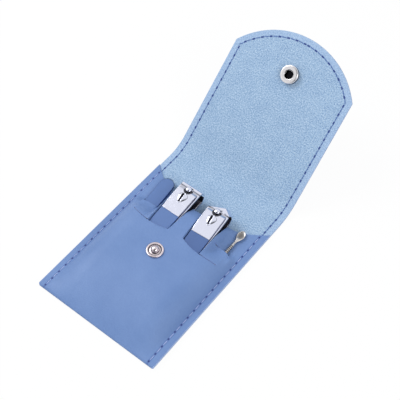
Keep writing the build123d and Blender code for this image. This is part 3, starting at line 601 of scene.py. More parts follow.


# one thread: the copy in the suede is painted darker for the shade of the pile it sinks into
pale_thread = twisted_thread("thread_on_leather", "#B4C6F2")
shaded_thread = twisted_thread("thread_shaded_in_suede", "#5573B4")
lip_at_seam = LIP_DIP_Y + LIP_RADIUS - math.sqrt(LIP_RADIUS**2 - STITCH_X**2)
count = int((CREASE_S - 1) / STITCH_PITCH - STITCH_START) + 1
s = np.tile(STITCH_PITCH * (np.arange(count) + STITCH_START), 2)
x = np.repeat([-STITCH_X, STITCH_X], count)
below = laminate_stitches(x, s, 0, -SHEET)
on_pocket = s + FOLD_Y < lip_at_seam - STITCH_PITCH / 2
above = laminate_stitches(x[~on_pocket], s[~on_pocket], 0, 0)
x, y = x[on_pocket], s[on_pocket] + FOLD_Y
height = pocket_top(x, y, 0)
slope = (pocket_top(x, y + 0.5, 0) - height) / 0.5
on_front = [np.stack(np.broadcast_arrays(*part), -1)
            for part in ((x, y, height), (0, 1, slope), (0, -slope, 1))]
for name, run, material in (("pocket_thread", on_front, pale_thread), ("back_thread", below, pale_thread),
                            ("back_inner_thread", above, shaded_thread)):
    made = thread_run(name, *run, material)
    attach(made, "pouch")
    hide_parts("pocket_stitches")

first = math.ceil(FLAP_S / STITCH_PITCH - STITCH_START)
spine_s = STITCH_PITCH * (np.arange(count, first) + STITCH_START)
s = np.tile(spine_s, 2)
x = np.repeat([-STITCH_X, STITCH_X], len(spine_s))
for name, lift, material in (("spine_inner_thread", 0, shaded_thread), ("spine_thread", -SHEET, pale_thread)):
    made = thread_run(name, *laminate_stitches(x, s, 0, lift), material)
    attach(made, "spine")
    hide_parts("spine_stitches")

last = int(CORNER_S / STITCH_PITCH - STITCH_START) + 1
side_s = STITCH_PITCH * (np.arange(first, last) + STITCH_START)
end_runs = STITCH_PITCH * (np.arange(last, 60) + STITCH_START)
turn = SEAM_CORNER - (end_runs - CORNER_S) / SEAM_RADIUS
turn = turn[turn > 0]
end_x = SEAM_RADIUS * np.sin(turn)
end_s = END_CENTRE + SEAM_RADIUS * np.cos(turn)
s = np.concatenate([side_s, side_s, end_s, end_s])
x = np.concatenate([0 * side_s - STITCH_X, 0 * side_s + STITCH_X, end_x, -end_x])
slant = np.concatenate([np.zeros(2 * len(side_s)), turn + math.pi / 2 + STITCH_SLANT,
                        -turn - math.pi / 2 + STITCH_SLANT])
for name, lift, material in (("flap_inner_thread", 0, shaded_thread), ("flap_thread", -SHEET, pale_thread)):
    made = thread_run(name, *laminate_stitches(x, s, slant, lift), material)
    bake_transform(made)
    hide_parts("flap_stitches")

# Snap fastener, pressed from nickelled brass. The stud is riveted to the pocket front. The
# socket, with a bent steel wire that grips the stud, is riveted to the flap by a domed cap.

LATHE_SIDES = 64


def polished(name, code, roughness, scratch):
    """Plated and polished metal. Wiping leaves faint smears, so its gloss varies softly over
    a few millimetres, and the mark map darkens it towards near black: painted shade and
    painted dark reflections in grooves, holes and creases and under edges."""
    made, tree, shader = surface(name, Metallic=1.0)
    place = add(tree, "TexCoord").outputs["Object"]
    smear = add(tree, "TexNoise", {"Vector": place, "Scale": 1 / (3.0 * MM), "Detail": 4})
    gloss = add(tree, "MapRange", {"Value": smear, 1: 0.3, 2: 0.7, 3: roughness, 4: roughness * 1.8})
    mark = add(tree, "SeparateXYZ", {0: add(tree, "UVMap", uv_map="mark")})
    # painted shade: where the mark map says, the metal's colour goes to near black
    tint = add(tree, "Mix", {0: mark, 6: linear(code), 7: linear("#17171C")}, data_type="RGBA")
    fine = add(tree, "TexNoise", {"Vector": place, "Scale": 1 / (scratch * MM), "Detail": 3})
    raised = add(tree, "Bump", {"Height": fine, "Strength": 0.05, "Distance": 0.05 * MM})
    feed(tree, shader, {"Base Color": tint, "Roughness": gloss, "Normal": raised})
    return made


def tube(rows, sides):
    """Quads of rings of points, each closed on itself, numbered ring by ring."""
    ring, here = np.arange(rows)[:, None] * sides, np.arange(sides)
    after = (here + 1) % sides
    return np.stack([ring[:-1] + here, ring[:-1] + after, ring[1:] + after, ring[1:] + here], -1).reshape(-1, 4)


def lathe(name, profile, middle, material, tilt=0.0, marks=0):
    """Turned body about its own axis, from (radius, height) points, first and last on the
    axis. The axis leans back by the tilt, and marks give each point its share of painted shade."""
    radius, z = np.array(profile, float)[:, :, None].transpose(1, 0, 2)
    turn = 2 * math.pi * np.arange(LATHE_SIDES) / LATHE_SIDES
    x, y, z = np.broadcast_arrays(radius * np.cos(turn), radius * np.sin(turn), z)
    points = np.stack([x, y * math.cos(tilt) - z * math.sin(tilt), y * math.sin(tilt) + z * math.cos(tilt)], -1)
    marks = np.repeat(np.broadcast_to(marks, len(profile)), LATHE_SIDES)
    made = piece(name, points + middle, tube(len(profile), LATHE_SIDES), [material], maps={"mark": (marks, 0)})
    close_up(made, 2e-6, 35)
    return made


def arc_profile(centre, radius, start, end, steps):
    """Points of a profile along a circle, angles in degrees from the outward direction."""
    angles = np.radians(np.linspace(start, end, steps))
    return [(centre[0] + radius * math.cos(a), centre[1] + radius * math.sin(a)) for a in angles]


nickel = polished("nickelled_brass", "#D6CBD0", 0.16, 0.6)
bright_nickel = polished("bright_nickelled_brass", "#F0EEF1", 0.14, 0.6)
spring_steel = polished("spring_wire", "#8F8F92", 0.3, 0.4)
stud_low, stud_high = box_of("snap_stud")
stud_place = [*(stud_low + stud_high)[:2] / 2, stud_low[2]]
stud = [(0, 0), (4.65, 0), (4.8, 0.15)] + arc_profile((4.36, 0.4), 0.44, -10, 100, 7)
stud += [(3.75, 0.8), (3.5, 0.5), (3.35, 0.36), (2.7, 0.34), (2.3, 0.5), (1.9, 0.7)]
stud += [(2.2 * math.cos(a), 1.1 + 1.65 * math.sin(a)) for a in np.linspace(-0.2, 1.5, 14)] + [(0, 2.75)]
# painted shade: the groove ring and the fillet under the head are darkened through the mark map
marks = [0.85 if 3.3 < r < 3.6 or (1.8 < r < 2.4 and 0.4 < z < 0.9) else 0.0 for r, z in stud]
made = lathe("stud", stud, stud_place, nickel, marks=marks)
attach(made, "pouch")
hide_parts("snap_stud")

rivet = [(0, 0), (3.6, 0.05), (4.15, 0.2), (4.3, 0.4), (4.3, 0.5), (1.5, 0.5), (1.5, 2.0), (0, 2.0)]
made = lathe("stud_rivet_head", rivet, [0, stud_place[1], box_of("stud_rivet")[0][2]], nickel)
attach(made, "pouch")
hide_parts("stud_rivet")

SOCKET_S = FLAP_S + CREASE[1] - stud_place[1]
socket_place = on_laminate(0.0, SOCKET_S, 0.0)
socket = [(0, 0), (5.2, 0), (5.35, 0.12), (5.35, 0.6), (4.95, 0.72), (4.8, 0.9), (4.85, 1.3), (5.2, 1.42)]
socket += arc_profile((4.7, 2.05), 0.64, -35, 95, 9) + [(4.0, 2.72), (3.2, 2.66)]
socket += arc_profile((2.95, 2.4), 0.28, 80, 170, 5) + [(2.65, 1.9), (2.65, 0.3), (0, 0.25)]
# painted shade: the hole's wall and floor go near black, and the side wall under the rim is darkened
marks = [1.0 if r < 2.66 and z < 2.0 else 0.9 if 0.55 < z < 1.45 and r < 5.4 else 0.0 for r, z in socket]
made = lathe("socket", socket, socket_place, bright_nickel, FLAP_ANGLE, marks)
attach(made, "flap")
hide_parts("snap_socket")

cap = [(0, -1.2), (2.0, -1.17), (4.2, -1.0)] + arc_profile((5.0, -0.35), 0.75, -60, 0, 6)
cap += [(5.9, -0.1), (5.95, 0), (1.5, 0), (1.5, 0.1 + SHEET), (0, 0.1 + SHEET)]
made = lathe("socket_cap", cap, on_laminate(0.0, SOCKET_S, -SHEET), nickel, FLAP_ANGLE)
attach(made, "flap")
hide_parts("snap_cap")

WIRE_RADIUS = 0.3
WIRE_LEG = 2.5
WIRE_LIFT = 2.05
WIRE_SIDES = 8
turn = np.linspace(0, math.pi, 13)
wire_x = np.concatenate([[-WIRE_LEG] * 6, -WIRE_LEG * np.cos(turn), [WIRE_LEG] * 6])
wire_u = np.concatenate([np.linspace(-2.4, 0.6, 6), 0.8 + 1.6 * np.sin(turn), np.linspace(0.6, -2.4, 6)])
wire = np.stack([wire_x, wire_u], -1)
run = unit(np.gradient(wire, axis=0))
ring = 2 * math.pi * np.arange(WIRE_SIDES + 1) / WIRE_SIDES
x = wire[:, :1] - run[:, 1:] * WIRE_RADIUS * np.cos(ring)
u = wire[:, 1:] + run[:, :1] * WIRE_RADIUS * np.cos(ring)
points = on_laminate(x, SOCKET_S + u, WIRE_LIFT + WIRE_RADIUS * np.sin(ring))
made = piece("socket_wire", points, lattice(len(wire), WIRE_SIDES + 1), [spring_steel])
close_up(made, 1e-7)
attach(made, "flap")
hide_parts("socket_spring")

# Nail clippers, two of one model. Each has two arms blanked from 1.3 mm steel strip, bent
# into jaws at the front, ground, chrome plated and riveted together at the tail.

ARM_THICK = 1.3
ARM_TAIL_Y = -51.0
ARM_TAIL_HALF = 4.8
ARM_COLUMNS = 45
TAIL_ROUND = 3.0
TAPER_END_Y = -48.0
BEND_Y = 0.8
EDGE_THICK = 0.3
JAW_ROUND = 0.9
PAINTED_SHADE_REACH = 2.9
LEVER_FRONT = 1.2
ARM_LOW = box_of("straight_lower_jaw")[0][2]
ARM_TOP = ARM_LOW + ARM_THICK
ARM_SPREAD = 6.7
UPPER_TOP = ARM_TOP + ARM_SPREAD + ARM_THICK
ARM_SLOPE = math.atan2(ARM_SPREAD, BEND_Y - ARM_TAIL_Y)
JAW_GAP = 2.3
LOW_EDGE_Z = (ARM_LOW + UPPER_TOP - JAW_GAP) / 2
STRIP_RIM = [(0, -0.14), (0.05, -0.05), (0.13, 0.0), (0.5, 0.02), (0.87, 0.0), (0.95, -0.05), (1, -0.14)]
STRIP_SLOTS = [0, 1, 0, 0, 0, 1, 1, 0]
# Front outlines of the jaws as (x, y) points: along the outer face, then along the cutting edge
JAWS = {
    "straight": ([(-ARM_HALF, 3.8), (ARM_HALF, 3.8)], [(-ARM_HALF, 5.4), (ARM_HALF, 5.4)]),
    "slant": ([(-ARM_HALF, 1.8), (2.1, 5.7), (ARM_HALF, 2.1)], [(-ARM_HALF, 3.2), (3.4, 7.6), (ARM_HALF, 5.0)]),
}
chrome = polished("chrome_plated_steel", "#DDE0F0", 0.08, 0.5)
# the dark steel goes on the inner faces and the inner half of each edge, facing the gaps between the parts:
# painted shade, and on the edges also the duller sheared band
STRIP_STEEL = [chrome, polished("sheared_steel_and_painted_shade", "#50505C", 0.3, 0.3)]


def at_clipper(points, name):
    """Points of a clipper's own frame, with the pin as origin, at their place in the pouch."""
    pin, turn = CLIPPERS[name]
    x, y = points[..., 0], points[..., 1]
    return np.stack([pin[0] + math.cos(turn) * x - math.sin(turn) * y,
                     pin[1] + math.sin(turn) * x + math.cos(turn) * y, points[..., 2]], -1)


def arm_half(y):
    """Half width of an arm: full at the jaws, tapered to the tail, with a rounded end."""
    half = np.interp(y, [TAPER_END_Y, ARM_TAPER_Y], [ARM_TAIL_HALF, ARM_HALF])
    past = np.clip((TAPER_END_Y - y) / TAIL_ROUND, 0, 0.97)
    return half * np.sqrt(1 - 0.86 * past**2)


def jaw_corner(start, corner, end):
    """Rows from start over a rounded corner to the end, a quadratic curve between the legs."""
    before, behind = corner + JAW_ROUND * unit(start - corner), corner + JAW_ROUND * unit(end - corner)
    rows = [start + (before - start) * t for t in (0.35, 0.7)]
    rows += [(1 - t) ** 2 * before + 2 * t * (1 - t) * corner + t**2 * behind for t in np.linspace(0, 1, 8)]
    return rows + [behind + (end - behind) * t for t in (0.25, 0.5, 0.75, 1.0)]


def arm(name, part, body, upper):
    """One arm: a strip from the tail to the jaw, whose front turns over to a cutting edge.
    Painted shade darkens the arm round the pin and under the front edge of the lever."""
    share = np.linspace(-1, 1, ARM_COLUMNS)
    flat = np.concatenate([TAPER_END_Y - TAIL_ROUND * np.sin(np.linspace(1.57, 0, 9)),
                           np.linspace(TAPER_END_Y, ARM_TAPER_Y, 26)[1:],
                           np.linspace(ARM_TAPER_Y, BEND_Y, 12)[1:]])
    if upper:
        z = ARM_TOP + ARM_THICK + math.tan(ARM_SLOPE) * (flat - ARM_TAIL_Y)
        heights = (UPPER_TOP, LOW_EDGE_Z + JAW_GAP)
    else:
        z = np.full(len(flat), ARM_LOW)
        heights = (ARM_LOW, LOW_EDGE_Z)
    x = ARM_HALF * share
    rows = [np.stack([arm_half(v) * share, 0 * share + v, 0 * share + w], -1) for v, w in zip(flat, z)]
    corner, end = [np.stack([x, np.interp(x, *zip(*line)), 0 * x + height], -1)
                   for line, height in zip(JAWS[name], heights)]
    jaw = jaw_corner(rows[-1], corner, end)
    grid = np.array(rows + jaw)
    thick = np.concatenate([np.full(len(rows) + 5, ARM_THICK),
                            np.linspace(ARM_THICK, EDGE_THICK, len(jaw) - 5)])
    # painted shade: a dark ring round the pin and a dark band under the lever's toe
    round_pin = smooth((PAINTED_SHADE_REACH - np.hypot(grid[..., 0], grid[..., 1])) / 0.4)
    under_toe = 0.85 * smooth((0.6 - np.abs(grid[..., 1] - LEVER_FRONT - 0.15)) / 0.3)
    made = sheet_body(part, at_clipper(grid if upper else grid[:, ::-1], name), thick[:, None], STRIP_RIM,
                      STRIP_STEEL, STRIP_SLOTS, {"mark": (upper * np.maximum(round_pin, under_toe), 0)}, 40)
    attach(made, body)
    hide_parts(part)


for name in CLIPPERS:
    arm(name, f"{name}_lower_jaw", f"{name}_clipper", False)
    arm(name, f"{name}_upper_jaw", f"{name}_clipper_upper_jaw", True)

# Rivets and pins of the clippers: turned steel. The pin runs through both arms and the
# lever hangs on its round head, and a flat rivet closes the tail.

LEVER_GAP = 0.35
LEVER_THICK = 1.1
LEVER_Z = UPPER_TOP - math.tan(ARM_SLOPE) * BEND_Y + LEVER_GAP
NECK_Z = LEVER_Z + LEVER_THICK
PIN_HEAD = 1.7
for name, (pin, turn) in CLIPPERS.items():
    head = [(0, ARM_LOW + 0.02), (2.1, ARM_LOW + 0.02), (2.2, ARM_LOW + 0.12), (2.2, ARM_LOW + 0.45)]
    head += [(1.2, ARM_LOW + 0.45), (1.2, NECK_Z - 0.3), (1.25, NECK_Z), (1.4, NECK_Z + 0.3)]
    head += [(PIN_HEAD * math.cos(a), NECK_Z + 0.65 + 0.78 * math.sin(a)) for a in np.linspace(-0.35, 1.5, 12)]
    head += [(0, NECK_Z + 1.43)]
    # painted shade: the neck under the head and in the lever's slot is darkened
    marks = [0.95 if NECK_Z - 0.4 < z < NECK_Z + 0.35 else 0.0 for r, z in head]
    made = lathe(f"{name}_pin_turned", head, [*pin, 0], chrome, marks=marks)
    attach(made, f"{name}_clipper")
    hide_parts(f"{name}_pin")
    low, high = box_of(f"{name}_tail_rivet")
    top = high[2] - low[2]
    rivet = [(0, 0.02), (1.1, 0.02), (1.2, 0.1), (1.2, ARM_THICK), (2.1, ARM_THICK), (2.1, ARM_THICK + 0.2)]
    rivet += [(1.2, ARM_THICK + 0.2), (1.2, top - 0.45), (2.15, top - 0.45), (2.2, top - 0.3)]
    rivet += [(1.9, top - 0.08), (1.2, top), (0, top)]
    made = lathe(f"{name}_tail_rivet_turned", rivet, [*(low + high)[:2] / 2, low[2]], chrome)
    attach(made, f"{name}_clipper")
    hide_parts(f"{name}_tail_rivet")

# Levers of the clippers: chrome plated strip with a drop-shaped boss behind the pin and a
# front edge thinned to rock on the arm. The rear half is dipped in satin blue enamel.

LEVER_HALF = 5.75
LEVER_REAR = -43.5
LEVER_CORNER = 1.6
GRIP_START = -16.3
SLOT_HALF = 1.4
BOSS_START = -2.7
BOSS_LENGTH = 6.8
BOSS_HALF = 2.6
BOSS_HEIGHT = 0.34
CREASE_DEPTH = 0.1
CREASE_START_X = -0.85
CREASE_END_X = -0.25
TOE_DROP = 1.15
TOE_THICK = 0.28
COAT_STEP = 0.03
TOE_SHADE = 0.35
GRIP_RIM = [(0, -0.24), (0.06, -0.11), (0.16, -0.03), (0.32, 0.0), (0.68, 0.0), (0.84, -0.03),
            (0.94, -0.11), (1, -0.24)]


def boss_height(x, y):
    """Raised drop: full width near the pin, narrowing to a round rear end, with a crease
    pressed along its ridge that ends in a small pit. Also gives the share of painted darkness:
    a painted dark reflection along the crease and in the pit, and painted shade round the foot."""
    along = np.clip((BOSS_START - y) / BOSS_LENGTH, 0, 1)
    half = BOSS_HALF * np.sqrt(np.clip(1 - (1 - np.minimum(along / 0.3, 1)) ** 2, 0, 1))
    half = half * (1 - 0.62 * smooth((along - 0.3) / 0.7)) * np.sqrt(np.clip(1 - along**8, 0, 1))
    inside = np.clip(1 - (x / np.maximum(half, 0.05)) ** 2, 0, 1)
    height = BOSS_HEIGHT * inside**0.9 * (along < 1)
    middle = CREASE_START_X + (CREASE_END_X - CREASE_START_X) * along
    line = smooth((0.85 - np.abs(x - middle)) / 0.3)
    line = line * smooth((along - 0.01) / 0.03) * smooth((0.8 - along) / 0.05)
    pit = smooth((1.0 - np.hypot(x - CREASE_END_X, y - BOSS_START + 0.8 * BOSS_LENGTH)) / 0.35)
    crease = np.maximum(line, pit)
    foot = 0.62 * smooth((0.3 - np.abs(np.abs(x) - half)) / 0.24) * (along > 0.03) * (along < 1)
    return height - CREASE_DEPTH * crease * (height > 0), np.maximum(crease, foot)


def on_lever(x, y, lift, name):
    """Points of the lever, which lies along the upper arm's slope a small gap above it."""
    return at_clipper(np.stack([x, y * math.cos(ARM_SLOPE) - lift * math.sin(ARM_SLOPE),
                                LEVER_Z + y * math.sin(ARM_SLOPE) + lift * math.cos(ARM_SLOPE)], -1), name)


def lever(name):
    """Bright front plate of a lever, with a slot round the pin and rounded front corners."""
    edges = (-LEVER_HALF, -SLOT_HALF, SLOT_HALF, LEVER_HALF)
    columns = np.concatenate([edges[:1]] + [np.linspace(a, b, 29)[1:] for a, b in zip(edges, edges[1:])])
    stations = np.concatenate([np.linspace(GRIP_START, -10.2, 12), np.linspace(-10.1, BOSS_START + 0.4, 70),
                               np.linspace(BOSS_START + 0.5, -SLOT_HALF, 12),
                               np.linspace(-SLOT_HALF, LEVER_FRONT, 28)[1:]])
    corner = np.clip((stations - LEVER_FRONT) / LEVER_CORNER + 1, 0, 0.96)
    front_half = LEVER_HALF - LEVER_CORNER * (1 - np.sqrt(1 - corner[:, None] ** 2))
    x, y = np.meshgrid(columns, stations)
    beyond = (np.abs(x) - SLOT_HALF) * (front_half - SLOT_HALF) / (LEVER_HALF - SLOT_HALF)
    x = np.where(beyond > 0, np.sign(x) * (SLOT_HALF + beyond), x)
    height, crease = boss_height(x, y)
    toe = smooth((y + 2.0) / 3.1) * smooth((np.abs(x) - 1.9) / 0.8)
    height = height + LEVER_THICK - TOE_DROP * toe
    # painted shade: a dark ring round the pin and a grey wash on the bent-down toe corners
    pin_and_toe_shade = np.maximum(0.92 * smooth((PAINTED_SHADE_REACH - np.hypot(x, y)) / 0.35) * (y < 0.8), TOE_SHADE * toe)
    grid = on_lever(x, y, height, name)
    flat = on_lever(x, y, np.minimum(height - TOE_THICK, -0.02), name)
    up = on_lever(0, 0, 1, name) - on_lever(0, 0, 0, name)
    quads = lattice(*x.shape)
    middle = np.stack([x, y], -1).reshape(-1, 2)[quads].mean(axis=1)
    quads = quads[~((np.abs(middle[:, 0]) < SLOT_HALF) & (middle[:, 1] > -SLOT_HALF))]
    used, quads = np.unique(quads, return_inverse=True)
    thick, mark = ((grid - flat) @ up).ravel()[used], np.maximum(crease, pin_and_toe_shade).ravel()[used]
    made = sheet_body(f"{name}_lever_plate", grid.reshape(-1, 3)[used], thick, STRIP_RIM, STRIP_STEEL,
                      STRIP_SLOTS, {"mark": (mark, 0)}, 40,
                      quads=quads.reshape(-1, 4), normals=np.tile(up, (len(used), 1)))
    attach(made, f"{name}_clipper_lever")
    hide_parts(f"{name}_lever")


def satin_coat(name, code):
    """Dipped or moulded satin blue coat with a faint orange-peel, half a millimetre wide."""
    made, tree, shader = surface(name, Roughness=0.42, Specular_IOR_Level=0.4)
    place = add(tree, "TexCoord").outputs["Object"]
    cloud = add(tree, "TexNoise", {"Vector": place, "Scale": 1 / (7 * MM), "Detail": 3})
    tint = add(tree, "Mix", {0: cloud, 6: linear(code, 0.88), 7: linear(code)}, data_type="RGBA")
    peel = add(tree, "TexNoise", {"Vector": place, "Scale": 1 / (0.5 * MM)})
    raised = add(tree, "Bump", {"Height": peel, "Strength": 0.12, "Distance": 0.1 * MM})
    feed(tree, shader, {"Base Color": tint, "Normal": raised})
    return made


# The slanted clipper's lever gets a darker copy of the same enamel, as painted shade
ENAMELS = {"straight": satin_coat("satin_enamel", "#5978B0"),
           "slant": satin_coat("satin_enamel_painted_shade", "#4C69A0")}


def grip(name):
    """Coated rear of a lever, with rounded corners at its end."""
    stations = np.concatenate([LEVER_REAR + LEVER_CORNER * (1 - np.cos(np.linspace(0.08, 1.57, 10))),
                               np.linspace(LEVER_REAR + LEVER_CORNER, GRIP_START, 40)[1:]])[:, None]
    corner = np.clip(1 - (stations - LEVER_REAR) / LEVER_CORNER, 0, 1)
    half = LEVER_HALF - LEVER_CORNER * (1 - np.sqrt(1 - corner**2))
    x, y = np.broadcast_arrays(half * np.linspace(-1, 1, 41), stations)
    thick = LEVER_THICK - COAT_STEP
    made = sheet_body(f"{name}_grip", on_lever(x, y, thick, name), thick, GRIP_RIM, [ENAMELS[name]], sharp=50)
    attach(made, f"{name}_clipper_lever")
    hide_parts(f"{name}_lever_grip")


for name in CLIPPERS:
    lever(name)
    grip(name)

# Nail file. A cross-cut carbon steel blade whose tang is pressed into a moulded ABS handle,
# satin blue, with a rounded end and painted shade on its sides.

FILE_TURN = math.atan2(-joints["nail_file_draw"]["axis"][0], joints["nail_file_draw"]["axis"][1])
FILE_LENGTH = 88.0
HANDLE_LENGTH = 42.0
HANDLE_HALF = 4.3
HANDLE_THICK = 1.4
BLADE_HALF = 4.0
BLADE_THICK = 0.8
BLADE_POINT = 9.0
TEETH_PITCH = 0.287
FILE_COLUMNS = 33
HANDLE_RIM = [(0, -0.3), (0.07, -0.13), (0.2, -0.03), (0.5, 0.02), (0.8, -0.03), (0.93, -0.13), (1, -0.3)]
HANDLE_SLOTS = [0, 0, 0, 1, 1, 1, 1, 0]
handle_low, handle_high = box_of("file_handle")
file_tip = [handle_low[0] + HANDLE_HALF * (2 - math.cos(FILE_TURN)),
            handle_high[1] - HANDLE_HALF * (1 - math.cos(FILE_TURN))]


def file_part(name, half, stations, top, thick, rim, materials, slots, node, sharp):
    """Flat part of the file, as wide as the half width at each station down from the handle's
    tip, with its upper face at the top above the handle's underside."""
    x, y = np.broadcast_arrays(half[:, None] * np.linspace(-1, 1, FILE_COLUMNS), stations[:, None])
    grid = np.stack([file_tip[0] + math.cos(FILE_TURN) * x - math.sin(FILE_TURN) * y,
                     file_tip[1] + math.sin(FILE_TURN) * x + math.cos(FILE_TURN) * y,
                     np.full_like(x, top + handle_low[2])], -1)
    maps = {"blade": (x / DECIMETRE, y / DECIMETRE)}
    made = sheet_body(name, grid, thick, rim, materials, slots, maps, sharp)
    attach(made, "nail_file")
    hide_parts(node)


stations = np.concatenate([np.linspace(-HANDLE_LENGTH, -HANDLE_HALF, 40),
                           HANDLE_HALF * (np.sin(np.linspace(0, 1.5, 16)[1:]) - 1)])
half = np.sqrt(HANDLE_HALF**2 - np.maximum(stations + HANDLE_HALF, 0) ** 2)
# the second, darker plastic on the handle's sides is painted shade
plastic = [satin_coat("satin_abs", "#5D7BB2"), satin_coat("satin_abs_painted_shade", "#2F4A8E")]
file_part("file_grip", half, stations, HANDLE_THICK, HANDLE_THICK, HANDLE_RIM, plastic, HANDLE_SLOTS,
          "file_handle", 50)


def cross_cut(name):
    """Cross-cut file steel: two sets of slanting teeth, 0.29 mm apart, that glitter."""
    made, tree, shader = surface(name, Metallic=1.0, Roughness=0.38, Base_Color=linear("#B9B9BE"))
    place = add(tree, "UVMap", uv_map="blade")
    waves = []
    for slant in (-0.9, 0.9):
        turned = add(tree, "Mapping", {"Vector": place, "Rotation": (0, 0, slant)})
        # The wave has 20 radians to each unit of its scale
        wave = add(tree, "TexWave", {"Vector": turned, "Scale": 2 * math.pi / 20 * DECIMETRE / TEETH_PITCH})
        waves.append(wave.outputs["Fac"])
    both = add(tree, "Math", {0: waves[0], 1: waves[1]}, operation="MAXIMUM")
    raised = add(tree, "Bump", {"Height": both, "Strength": 0.7, "Distance": 0.2 * MM})
    feed(tree, shader, {"Normal": raised})
    return made


stations = np.concatenate([np.linspace(-FILE_LENGTH, -FILE_LENGTH + BLADE_POINT, 14),
                           np.linspace(-FILE_LENGTH + BLADE_POINT, -HANDLE_LENGTH, 30)[1:]])
half = BLADE_HALF * (0.15 + 0.85 * np.sin(np.clip((stations + FILE_LENGTH) / BLADE_POINT, 0, 1) * 1.571))
file_part("file_steel_blade", half, stations, (HANDLE_THICK + BLADE_THICK) / 2, BLADE_THICK, STRIP_RIM,
          [cross_cut("cross_cut_steel")], 0, "file_blade", 40)

# Ear pick. One piece of turned steel wire, satin finished: a shaft with six grip rings and a
# waisted neck, beaten flat at the end into a spoon with a round hollow.

PICK_SIDES = 32
PICK_LIFT = 1.1
SHAFT = 0.9
NECK = 0.72
NECK_FROM_TIP = 11.5
NECK_LENGTH = 2.4
RING_PITCH = 1.1
RING_HIGH = 1.12
RING_LOW = 0.78
RINGS_LENGTH = 6 * RING_PITCH
SPOON_HALF = 2.3
SPOON_WIDEST = 0.62
HOLLOW_DEPTH = 0.75
HOLLOW_LENGTH = 2.7
HOLLOW_FROM_TIP = 3.3
pick_low, pick_high = box_of("ear_pick")
neck_y = pick_high[1] - NECK_FROM_TIP
steps = np.linspace(0, RINGS_LENGTH, 61)
rings = RING_LOW + (RING_HIGH - RING_LOW) * np.clip(np.sin(2 * math.pi * steps / RING_PITCH) * 1.6 + 0.5, 0, 1)
t = np.linspace(0, 1, 26)[1:]
past = (t - SPOON_WIDEST) / np.where(t > SPOON_WIDEST, 0.385, 0.75)
wide = np.where(t < SPOON_WIDEST, NECK + (SPOON_HALF - NECK) * smooth(t / SPOON_WIDEST),
                SPOON_HALF * np.sqrt(np.clip(1 - past**2, 0, 1)))
tall = np.interp(t, [0, 0.35, 0.9, 1], [0.63, 0.8, 0.75, 0.35])
y = np.concatenate([pick_low[1] + np.array([0, 0.15, 0.5]), np.linspace(pick_low[1] + 1, neck_y - 7.0, 30),
                    neck_y - 0.2 - steps[::-1], np.linspace(neck_y, neck_y + NECK_LENGTH, 8),
                    neck_y + NECK_LENGTH + (pick_high[1] - neck_y - NECK_LENGTH) * t])[:, None]
neck = NECK + (SHAFT - NECK) * (1 - smooth(np.linspace(0, 1, 8)))
shaft = np.concatenate([[0.3, 0.7, SHAFT], np.full(30, SHAFT), rings])
turn = 2 * math.pi * np.arange(PICK_SIDES) / PICK_SIDES
x = np.concatenate([shaft, neck, wide])[:, None] * np.cos(turn)
z = np.concatenate([shaft, neck * 0.95, tall])[:, None] * np.sin(turn)
# The hollow: an ellipsoid pressed into the upper side of the spoon
reach = np.hypot(x / (SPOON_HALF * 0.86), (y - pick_high[1] + HOLLOW_FROM_TIP) / HOLLOW_LENGTH)
upper = np.sin(turn) > 0.05
z = z - upper * HOLLOW_DEPTH * np.sqrt(np.clip(1 - reach**2, 0, 1))
groove = np.concatenate([np.zeros(33), rings < 0.85, np.zeros(33)])[:, None]
# painted shade: the spoon's hollow and the grooves between the grip rings are darkened through the mark map
mark = 0.7 * np.maximum(np.clip(1 - reach**4, 0, 1) * upper, groove)
points = np.stack(np.broadcast_arrays(x + (pick_low[0] + pick_high[0]) / 2, y, z + ARM_LOW + PICK_LIFT), -1)
made = piece("ear_pick_turned", points, tube(len(y), PICK_SIDES),
             [polished("satin_steel_wire", "#C6C3C2", 0.2, 0.25)], maps={"mark": (mark, 0)})
close_up(made, 1e-7, 45)
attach(made, "ear_pick")
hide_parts("ear_pick")

# Table and backdrop: one seamless pale sheet. The camera, and mirrors in the metal, see it
# almost white, and it keeps a faint shadow of the pouch.

FLOOR_SIZE = 6
FLOOR_GAP = 0.2 * MM
FLOOR_WHITE = 0.95


def seen_rays(tree):
    """The Light Path node, and 1 for the rays of the camera, of mirrors and of clear things."""
    ray = add(tree, "LightPath")
    seen = ray.outputs["Is Camera Ray"]
    for kind in ("Is Glossy Ray", "Is Transmission Ray"):
        seen = add(tree, "Math", {0: seen, 1: ray.outputs[kind]}, operation="MAXIMUM")
    return ray, seen


bpy.ops.mesh.primitive_plane_add(size=FLOOR_SIZE, location=(0, 0, cad_box[0].z - FLOOR_GAP))
floor = bpy.context.object
floor.name = "table"
paper, tree, shader = surface("white_paper", Base_Color=linear("#F4F5F7"), Roughness=0.9,
                              Specular_IOR_Level=0.1)
share = add(tree, "Math", {0: seen_rays(tree)[1], 1: FLOOR_WHITE}, operation="MULTIPLY")
white = add(tree, "Emission", {"Color": (1, 1, 1, 1), "Strength": 1})
mixed = add(tree, "MixShader", {0: share, 1: shader, 2: white})
feed(tree, tree.nodes["Material Output"], {"Surface": mixed})
floor.data.materials.append(paper)

# Soft studio light: an even white dome, a large soft box from the left and a weaker one from
# the right. Metal mirrors the white dome, the dark room low down beyond the table, and the
# dark camera.

CAMERA_WAY = (0.348, -0.455, 0.819)
DOME_LIGHT = 0.56

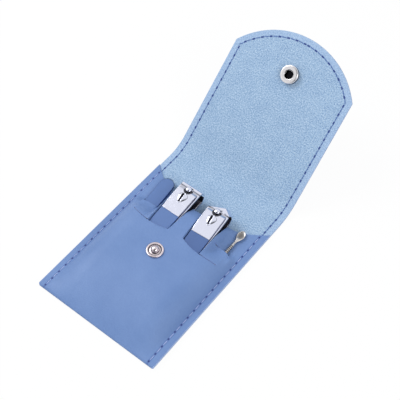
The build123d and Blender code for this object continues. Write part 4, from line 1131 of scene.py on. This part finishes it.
world = bpy.data.worlds.new("dome")
bpy.context.scene.world = world
world.use_nodes = True
tree = world.node_tree
ray, seen = seen_rays(tree)
light = add(tree, "MapRange", {"Value": seen, 3: DOME_LIGHT, 4: 1})
way = add(tree, "TexCoord").outputs["Generated"]
height = add(tree, "SeparateXYZ", {0: way}).outputs[2]
room = add(tree, "MapRange", {"Value": height, 1: 0.12, 2: 0.34, 3: 0.06, 4: 1})
facing = add(tree, "VectorMath", {0: way, 1: CAMERA_WAY}, operation="DOT_PRODUCT")
lens = add(tree, "MapRange", {"Value": facing, 1: 0.7, 2: 0.86, 3: 1, 4: 0.1})
mirrored = add(tree, "Math", {0: room, 1: lens}, operation="MULTIPLY")
share = add(tree, "MapRange", {"Value": ray.outputs["Is Glossy Ray"], 3: 1, 4: mirrored})
light = add(tree, "Math", {0: light, 1: share}, operation="MULTIPLY")
feed(tree, tree.nodes["Background"], {"Strength": light, "Color": (1, 1, 1, 1)})


def soft_box(name, place, size, power):
    """Square area lamp at a place in metres that faces the pouch."""
    lamp = bpy.data.lights.new(name, "AREA")
    lamp.size, lamp.energy = size, power
    made = bpy.data.objects.new(name, lamp)
    made.location = place
    aim = np.array([0, 0.02, 0]) - np.array(place)
    made.rotation_euler = Vector(aim).to_track_quat("-Z", "Y").to_euler()
    bpy.context.scene.collection.objects.link(made)


soft_box("key_lamp", (-0.56, -0.02, 0.63), 0.45, 3.55)
soft_box("fill_lamp", (0.62, -0.15, 0.62), 0.6, 2.8)

# Camera where the photographer stood, fitted to the pocket's outline in the photograph.

AZIMUTH, ELEVATION, ROLL = math.radians(37.45), math.radians(55.03), math.radians(0.87)
TARGET = np.array([-4.70, 38.77, 3.9]) * MM
DISTANCE = 0.5283
FOCAL_PIXELS = 950
FRAME_PIXELS = 400
back_way = np.array([math.sin(AZIMUTH) * math.cos(ELEVATION), -math.cos(AZIMUTH) * math.cos(ELEVATION),
                     math.sin(ELEVATION)])
camera = bpy.data.objects.new("camera", bpy.data.cameras.new("camera"))
camera.data.sensor_width = 36
camera.data.lens = 36 * FOCAL_PIXELS / FRAME_PIXELS
camera.data.clip_start = 0.01
camera.location = TARGET + DISTANCE * back_way
upright = Euler((math.pi / 2 - ELEVATION, 0, AZIMUTH)).to_matrix()
camera.rotation_euler = (upright @ Matrix.Rotation(ROLL, 3, "Z")).to_euler()
bpy.context.scene.collection.objects.link(camera)
bpy.context.scene.camera = camera
bpy.context.scene.view_settings.view_transform = "Standard"
